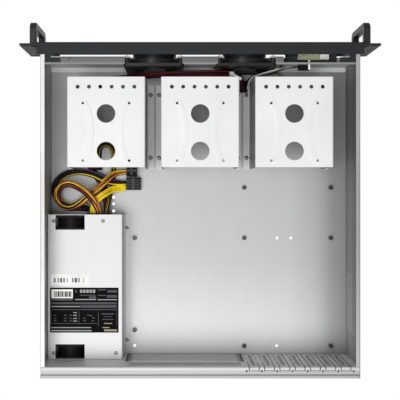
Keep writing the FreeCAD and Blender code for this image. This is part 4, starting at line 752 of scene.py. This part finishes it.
def scatter_tree():
    """Puts a prototype on every point, turned to the point's facing and grown to its size."""
    tree = bpy.data.node_groups.new("set_pieces_on_points", "GeometryNodeTree")
    for name, kind in (("Geometry", "Geometry"), ("Prototype", "Object"), ("Finish", "Material"),
                       ("Turn Range", "Float"), ("Seed", "Int")):
        tree.interface.new_socket(name, in_out="INPUT", socket_type="NodeSocket" + kind)
    tree.interface.new_socket("Geometry", in_out="OUTPUT", socket_type="NodeSocketGeometry")
    given = tree.nodes.new("NodeGroupInput")
    result = tree.nodes.new("NodeGroupOutput")
    facing, size = (tree.nodes.new("GeometryNodeInputNamedAttribute") for _ in range(2))
    for read, name in ((facing, "facing"), (size, "size")):
        read.data_type = "FLOAT_VECTOR"
        read.inputs["Name"].default_value = name
    align = tree.nodes.new("FunctionNodeAlignRotationToVector")
    align.axis = "Z"
    turn = tree.nodes.new("FunctionNodeRandomValue")
    turn.data_type = "FLOAT"
    spin = tree.nodes.new("FunctionNodeAxisAngleToRotation")
    spin.inputs["Axis"].default_value = (0, 0, 1)
    turned = tree.nodes.new("FunctionNodeRotateRotation")
    turned.rotation_space = "LOCAL"
    info = tree.nodes.new("GeometryNodeObjectInfo")
    put = tree.nodes.new("GeometryNodeInstanceOnPoints")
    real = tree.nodes.new("GeometryNodeRealizeInstances")
    coat = tree.nodes.new("GeometryNodeSetMaterial")
    link = tree.links.new
    link(given.outputs["Geometry"], put.inputs["Points"])
    link(given.outputs["Prototype"], info.inputs["Object"])
    link(info.outputs["Geometry"], put.inputs["Instance"])
    link(facing.outputs["Attribute"], align.inputs["Vector"])
    low, high = [s for s in turn.inputs if s.enabled and s.name in ("Min", "Max")]
    low.default_value = 0.0
    link(given.outputs["Turn Range"], high)
    link(given.outputs["Seed"], turn.inputs["Seed"])
    link([s for s in turn.outputs if s.enabled][0], spin.inputs["Angle"])
    link(align.outputs["Rotation"], turned.inputs["Rotation"])
    link(spin.outputs["Rotation"], turned.inputs["Rotate By"])
    link(turned.outputs["Rotation"], put.inputs["Rotation"])
    link(size.outputs["Attribute"], put.inputs["Scale"])
    link(put.outputs["Instances"], real.inputs["Geometry"])
    link(real.outputs["Geometry"], coat.inputs["Geometry"])
    link(given.outputs["Finish"], coat.inputs["Material"])
    link(coat.outputs["Geometry"], result.inputs["Geometry"])
    return tree


SCATTER = scatter_tree()


def set_on_points(name, places, **inputs):
    """places: (position, facing, size) each, in metres. The rest go to the tree's inputs."""
    cloud = bpy.data.meshes.new(name + "_points")
    cloud.from_pydata([place for place, _, _ in places], [], [])
    facing = cloud.attributes.new("facing", "FLOAT_VECTOR", "POINT")
    size = cloud.attributes.new("size", "FLOAT_VECTOR", "POINT")
    for index, (_, direction, scale) in enumerate(places):
        facing.data[index].vector = direction
        size.data[index].vector = scale
    holder = in_scene(name + "_points", cloud)
    scatter = holder.modifiers.new("scatter", "NODES")
    scatter.node_group = SCATTER
    for item in SCATTER.interface.items_tree:
        key = item.name.replace(" ", "_").lower()
        if item.in_out == "INPUT" and key in inputs:
            scatter[item.identifier] = inputs[key]
    mesh = plain_mesh(holder)
    mesh.name = name
    for attribute in ("facing", "size"):
        if attribute in mesh.attributes:
            mesh.attributes.remove(mesh.attributes[attribute])
    return mesh


def fit_screws():
    """Recessed heads in the place of the plain ones. All sizes here are in millimetres."""
    sides = (-1, 1)
    floor_seat, cover_seat, supply_rear, fan_face, handle_seat = 2.4, 41.7, 433.2, 19.1, 4.0
    cage_flange, fan_hole, handle_reach, handle_rise = 56.7, 35.75, 223.5, 33.5

    def heads(places, direction, radius, height):
        return [(spot(*place), direction, Vector((radius, radius, height)) * MM)
                for place in places]

    sets = {
        "cage_screws": heads(
            [(c + side * cage_flange, depth, floor_seat) for c in CAGE_CENTRES
             for side in sides for depth in (60.0, 150.0)], UP, 3.0, 1.8),
        "bracket_screws": heads(
            [(102.8, depth, floor_seat) for depth in (250.7, 411.7)], UP, 2.3, 1.6),
        "supply_screws": heads(
            [(x, supply_rear, z) for x in (113.8, 203.8) for z in (8.2, 34.7)],
            REARWARD, 3.2, 2.0) + heads(
            [(x, depth, cover_seat) for x, depth in (
                (201.8, 239.7), (133.8, 239.7), (201.8, 422.7), (115.8, 422.7))], UP, 2.6, 0.9),
        "fan_screws": heads(
            [(c + sx * fan_hole, fan_face, MID_HEIGHT + sz * fan_hole)
             for c in FAN_CENTRES.values() for sx in sides for sz in sides], FORWARD, 3.4, 2.0),
        "handle_screws": heads(
            [(sx * handle_reach, handle_seat, MID_HEIGHT + sz * handle_rise)
             for sx in sides for sz in sides], REARWARD, 3.5, 2.2),
    }
    head = pan_head_prototype()
    for seed, (node, places) in enumerate(sets.items()):
        mesh = set_on_points(node + "_driven", places, prototype=head, finish=CAD_FINISH[node],
                             turn_range=math.pi / 2, seed=seed)
        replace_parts(link_piece(node + "_driven", mesh), node)
    bpy.data.objects.remove(head)


fit_screws()


# ---- supply labels ------------------------------------------------------------------

def paper(name, base, roughness=0.45):
    """Printed paper or film with fine fibre and a little wear."""
    made = Finish(name, base, roughness, 0.0, Specular_IOR_Level=0.02)
    fibre = made.noise(1200, 3)
    wear = made.noise(35, 4)
    made.colour(made.ramp(wear, [(0.35, shade(base, 0.9)), (0.65, shade(base, 1.06))]))
    made.roughness(fibre, roughness - 0.05, roughness + 0.08)
    made.bump(fibre, 0.00001, 0.4)
    return made.material


LABEL_BLACK = paper("black_label_film", (0.004, 0.004, 0.0045), 0.5)
LABEL_WHITE = paper("white_label_paper", (0.88, 0.88, 0.87))
LABEL_GREY = paper("grey_label_print", (0.09, 0.09, 0.095))
LABEL_PALE = paper("pale_label_print", (0.36, 0.36, 0.36))
LABEL_TAN = paper("straw_label_print", (0.36, 0.35, 0.22))
LABEL_SOFT = paper("soft_grey_print", (0.13, 0.13, 0.13))

# The labels share one ruled sheet: how many of its steps make a millimetre, one point of its
# ruling, and where that point falls on the case, across and behind the front in millimetres.
RULING, RULED_POINT, CASE_POINT = 0.7204, (178.0, 195.0), (29.6, 203.5)
FILM_GAP, FILM_THICK, INK_THICK = 0.00001, 0.00009, 0.00003


def add_slab(bm, low, high, material_index=0):
    """A closed block between two corners, faces outwards."""
    made = bmesh.ops.create_cube(bm, size=1.0)
    size = [high[i] - low[i] for i in range(3)]
    middle = [(high[i] + low[i]) / 2 for i in range(3)]
    for vert in made["verts"]:
        vert.co = Vector([middle[i] + vert.co[i] * size[i] for i in range(3)])
    for face in {f for v in made["verts"] for f in v.link_faces}:
        face.material_index = material_index


def on_cover(across, down):
    """A place on the supply's cover, from the ruled sheet."""
    return ((CASE_POINT[0] - (across - RULED_POINT[0]) / RULING) * MM,
            FRONT + (CASE_POINT[1] + (down - RULED_POINT[1]) / RULING) * MM)


def stick_label(name, outline, fields, finishes):
    """A thin film on the cover with fields of colour and rules printed on it."""
    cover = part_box("supply_cover")[1].z
    film = cover + FILM_THICK
    layers = [(*outline, 0, cover + FILM_GAP, film)]
    layers += [(*field, film, film + INK_THICK) for field in fields]
    bm = bmesh.new()
    for x0, y0, x1, y1, index, low, high in layers:
        right, front = on_cover(x0, y0)
        left, rear = on_cover(x1, y1)
        add_slab(bm, (left, front, low), (right, rear, high), index)
    return link_piece(name, mesh_from(bm, name, finishes))


def label_supply():
    grey, pale, white, tan = 1, 2, 3, 4
    # Upright bars between two rules, and a line under them.
    edges = [51.5, 54.4, 55.5, 56.3, 57.1, 57.9, 59.5, 60.1, 60.9, 61.5, 62.9, 63.6, 64.4, 65.1,
             66.8, 67.3, 68.2, 68.8, 70.1, 70.5, 71.4, 72.8]
    fields = [(51.5, 289.3, 72.8, 291.4, white), (51.5, 296.9, 72.8, 298.2, white)]
    fields += [(left, 291.4, right, 296.9, white) for left, right in zip(edges[::2], edges[1::2])]
    fields.append((51.5, 298.6, 72.8, 300.6, grey))
    # The head's marks and lines.
    fields += [(80 + 3.2 * k, 289.6, 82.4 + 3.2 * k, 292.8, pale) for k in range(5)]
    fields += [(75, 290, 77, 292.5, grey), (80, 294.8, 95.5, 295.8, grey),
               (89, 296.3, 96, 298.5, grey), (75, 299, 95.8, 300, pale)]
    fields += [(98, 289.3, 106, 290.4, grey), (107.5, 290, 117, 292.6, grey),
               (98, 295, 106, 295.9, grey), (107, 295, 117, 297.6, grey),
               (97.5, 299.2, 117, 300.1, pale)]
    fields += [(51.5, 302.2, 117, 304.2, grey), (51.5, 306, 80, 307, pale),
               (80.5, 305, 117, 307.8, grey), (51.5, 309.2, 117, 310, grey)]
    # The table's rules, then what stands in its columns.
    fields += [(79, 311.5, 79.5, 323, grey), (98.1, 311.5, 98.6, 326, grey),
               (51.5, 323.2, 97, 323.8, grey), (50.9, 311, 51.3, 323, grey),
               (116.4, 302, 116.8, 326, grey)]
    fields += [(x, y, x + 2.6, y + 0.9, grey)
               for x in (53.8, 64.0, 69.4) for y in (314.8, 317.9, 320.4)]
    fields += [(73.2, y, 77.0, y + 0.9, pale) for y in (312.2, 315.0, 318.0, 320.6)]
    fields += [(x, y, x + 2.4, y + 1.0, grey) for x, y in (
        (83.0, 317.6), (83.4, 320.2), (87.0, 314.6), (89.8, 315.2), (92.4, 317.4), (91.6, 320.4))]
    fields += [(101.5, 313.4, 114.2, 314.5, grey), (104, 316.4, 112, 316.9, grey),
               (102.4, 319, 113.4, 319.8, grey)]
    # The foot's lines.
    fields += [(51.2, 327.1, 91, 328.0, pale), (51.2, 330.1, 91.6, 331.2, pale)]
    fields += [(104, 323, 112, 323.8, tan), (102.5, 327.1, 109.5, 328, tan),
               (104.2, 329.4, 117, 331.2, tan)]
    stick_label("rating_film", (50.0, 287.6, 118.6, 332.6), fields,
                [LABEL_BLACK, LABEL_GREY, LABEL_PALE, LABEL_WHITE, LABEL_TAN])
    bars = [(54, 1.6), (57.8, 1.0), (60.2, 2.0), (63.4, 1.4), (66.8, 0.8), (72.0, 1.4), (74.6, 2.6),
            (78.4, 1.2), (83.2, 0.6)]
    stick_label("serial_paper", (50.6, 274.2, 88.8, 285.2),
                [(x, 278.0, x + w, 282.4, 1) for x, w in bars], [LABEL_WHITE, LABEL_SOFT])


label_supply()


# ---- fan details --------------------------------------------------------------------

HUB_FACE = paper("dark_hub_sticker", (0.05, 0.05, 0.052))
HUB_RING = paper("grey_hub_ring", (0.16, 0.16, 0.17))


def disc_mesh(name, rings, thickness, facing, finishes):
    """A round sticker: each ring is (outer radius, finish index), outermost first."""
    sides = 48
    bm = bmesh.new()
    loops = [circle_of(bm, radius, thickness, sides) for radius, _ in rings]
    base = [bm.verts.new((v.co.x, v.co.y, 0.0)) for v in loops[0]]
    join_loops(bm, base, loops[0])
    for outer, inner, (_, index) in zip(loops, loops[1:], rings):
        for face in join_loops(bm, outer, inner):
            face.material_index = index
    bm.faces.new(loops[-1]).material_index = rings[-1][1]
    bm.faces.new(list(reversed(base)))
    bmesh.ops.recalc_face_normals(bm, faces=bm.faces)
    turn = facing.to_track_quat("Z", "Y").to_matrix().to_4x4()
    bmesh.ops.transform(bm, matrix=turn, verts=bm.verts)
    return mesh_from(bm, name, finishes)


def stick_hubs():
    """A dark sticker with a grey ring on the rear of each fan's hub."""
    gap, thickness = 0.00001, 0.0001
    rings = [(0.0135, 0), (0.0120, 1), (0.0114, 0), (0.005, 0)]
    for word, centre in FAN_CENTRES.items():
        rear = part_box("fan_frame_" + word)[1].y
        mesh = disc_mesh("hub_sticker_" + word, rings, thickness, REARWARD, [HUB_FACE, HUB_RING])
        mesh.transform(Matrix.Translation((centre * MM, rear + gap, MID_HEIGHT * MM)))
        link_piece("hub_sticker_" + word, mesh)


stick_hubs()


# ---- plug details -------------------------------------------------------------------

RIB_BLACK = moulded("worn_rib_black", (0.010, 0.010, 0.011), 0.3, 1400, 0.00001,
                    Specular_IOR_Level=0.22)
CLIP_WHITE = moulded("white_clip_nylon", (0.80, 0.80, 0.78), 0.4)


def dress_plug(name, node, ribs):
    """Ribs across a plug's upper face, one behind the other, and a latch arm over them."""
    rib_inset, rib_half, rib_sunk, rib_proud = 0.0004, 0.22, 0.0002, 0.0005
    arm_half, arm_inset, arm_proud = 0.0016, 0.3, 0.0016
    low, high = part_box(node)
    step = (high.y - low.y) / (ribs + 1)
    bm = bmesh.new()
    for k in range(ribs):
        middle = low.y + step * (k + 1)
        add_slab(bm, (low.x + rib_inset, middle - step * rib_half, high.z - rib_sunk),
                 (high.x - rib_inset, middle + step * rib_half, high.z + rib_proud))
    middle = (low.x + high.x) / 2
    add_slab(bm, (middle - arm_half, low.y + step * arm_inset, high.z),
             (middle + arm_half, high.y - step * arm_inset, high.z + arm_proud))
    link_piece(name, mesh_from(bm, name, [RIB_BLACK]))


def dress_plugs():
    """The two large plugs' ribs, and a white clip over one end of the panel lead's plug."""
    dress_plug("board_plug_ribs", "board_connector", 5)
    dress_plug("processor_plug_ribs", "processor_connector", 4)
    clip_out, clip_over, clip_inset, clip_down, clip_up = 0.0003, 0.0022, 0.0004, 0.0012, 0.0006
    low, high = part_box("panel_plug")
    bm = bmesh.new()
    add_slab(bm, (low.x - clip_out, low.y + clip_inset, high.z - clip_down),
             (low.x + clip_over, high.y - clip_inset, high.z + clip_up))
    link_piece("panel_plug_clip", mesh_from(bm, "panel_plug_clip", [CLIP_WHITE]))


dress_plugs()


# ---- floor --------------------------------------------------------------------------

def behind_edge_shade(made):
    """0 in the narrow strip of floor behind the rear edge that gets a painted shadow, 1 everywhere
    else.
    """
    # On each axis: the strip's middle, and how far from it the shade starts and ends to fade.
    fades = []
    for axis, middle, inner, outer in (("X", -0.003, 0.219, 0.226),
                                       ("Y", BACK + 0.0072, 0.0072, 0.0110)):
        away = made.maths("ABSOLUTE", made.maths("SUBTRACT", made.along(axis), middle))
        fades.append(made.map_range(away, inner, outer, interpolation_type="SMOOTHSTEP"))
    return made.maths("MAXIMUM", *fades)


def lay_floor():
    """Plain white to the camera and in reflections, pale to the light, with a painted shadow in the
    strip behind the rear edge.
    """
    half, level, pale, shaded = 4.0, -0.0006, neutral(0.92), neutral(0.09)
    mesh = bpy.data.meshes.new("studio_floor")
    mesh.from_pydata([(-half, -half, level), (half, -half, level), (half, half, level),
                      (-half, half, level)], [], [(0, 1, 2, 3)])
    floor = in_scene("studio_floor", mesh)
    made = Finish("studio_white", pale, 0.7)
    glow = made.node("ShaderNodeEmission", Strength=1.0)
    rays = made.node("ShaderNodeLightPath")
    seen = made.maths("MAXIMUM", rays.outputs["Is Camera Ray"], rays.outputs["Is Glossy Ray"])
    clear = behind_edge_shade(made)
    made.colour(made.ramp(clear, [(0.0, shaded), (1.0, pale)]))
    mix = made.node("ShaderNodeMixShader")
    made.feed(mix.inputs, (made.maths("MULTIPLY", seen, clear), made.shader.outputs[0],
                           glow.outputs[0]))
    made.link(mix.outputs[0], made.out.inputs["Surface"])
    mesh.materials.append(made.material)


lay_floor()
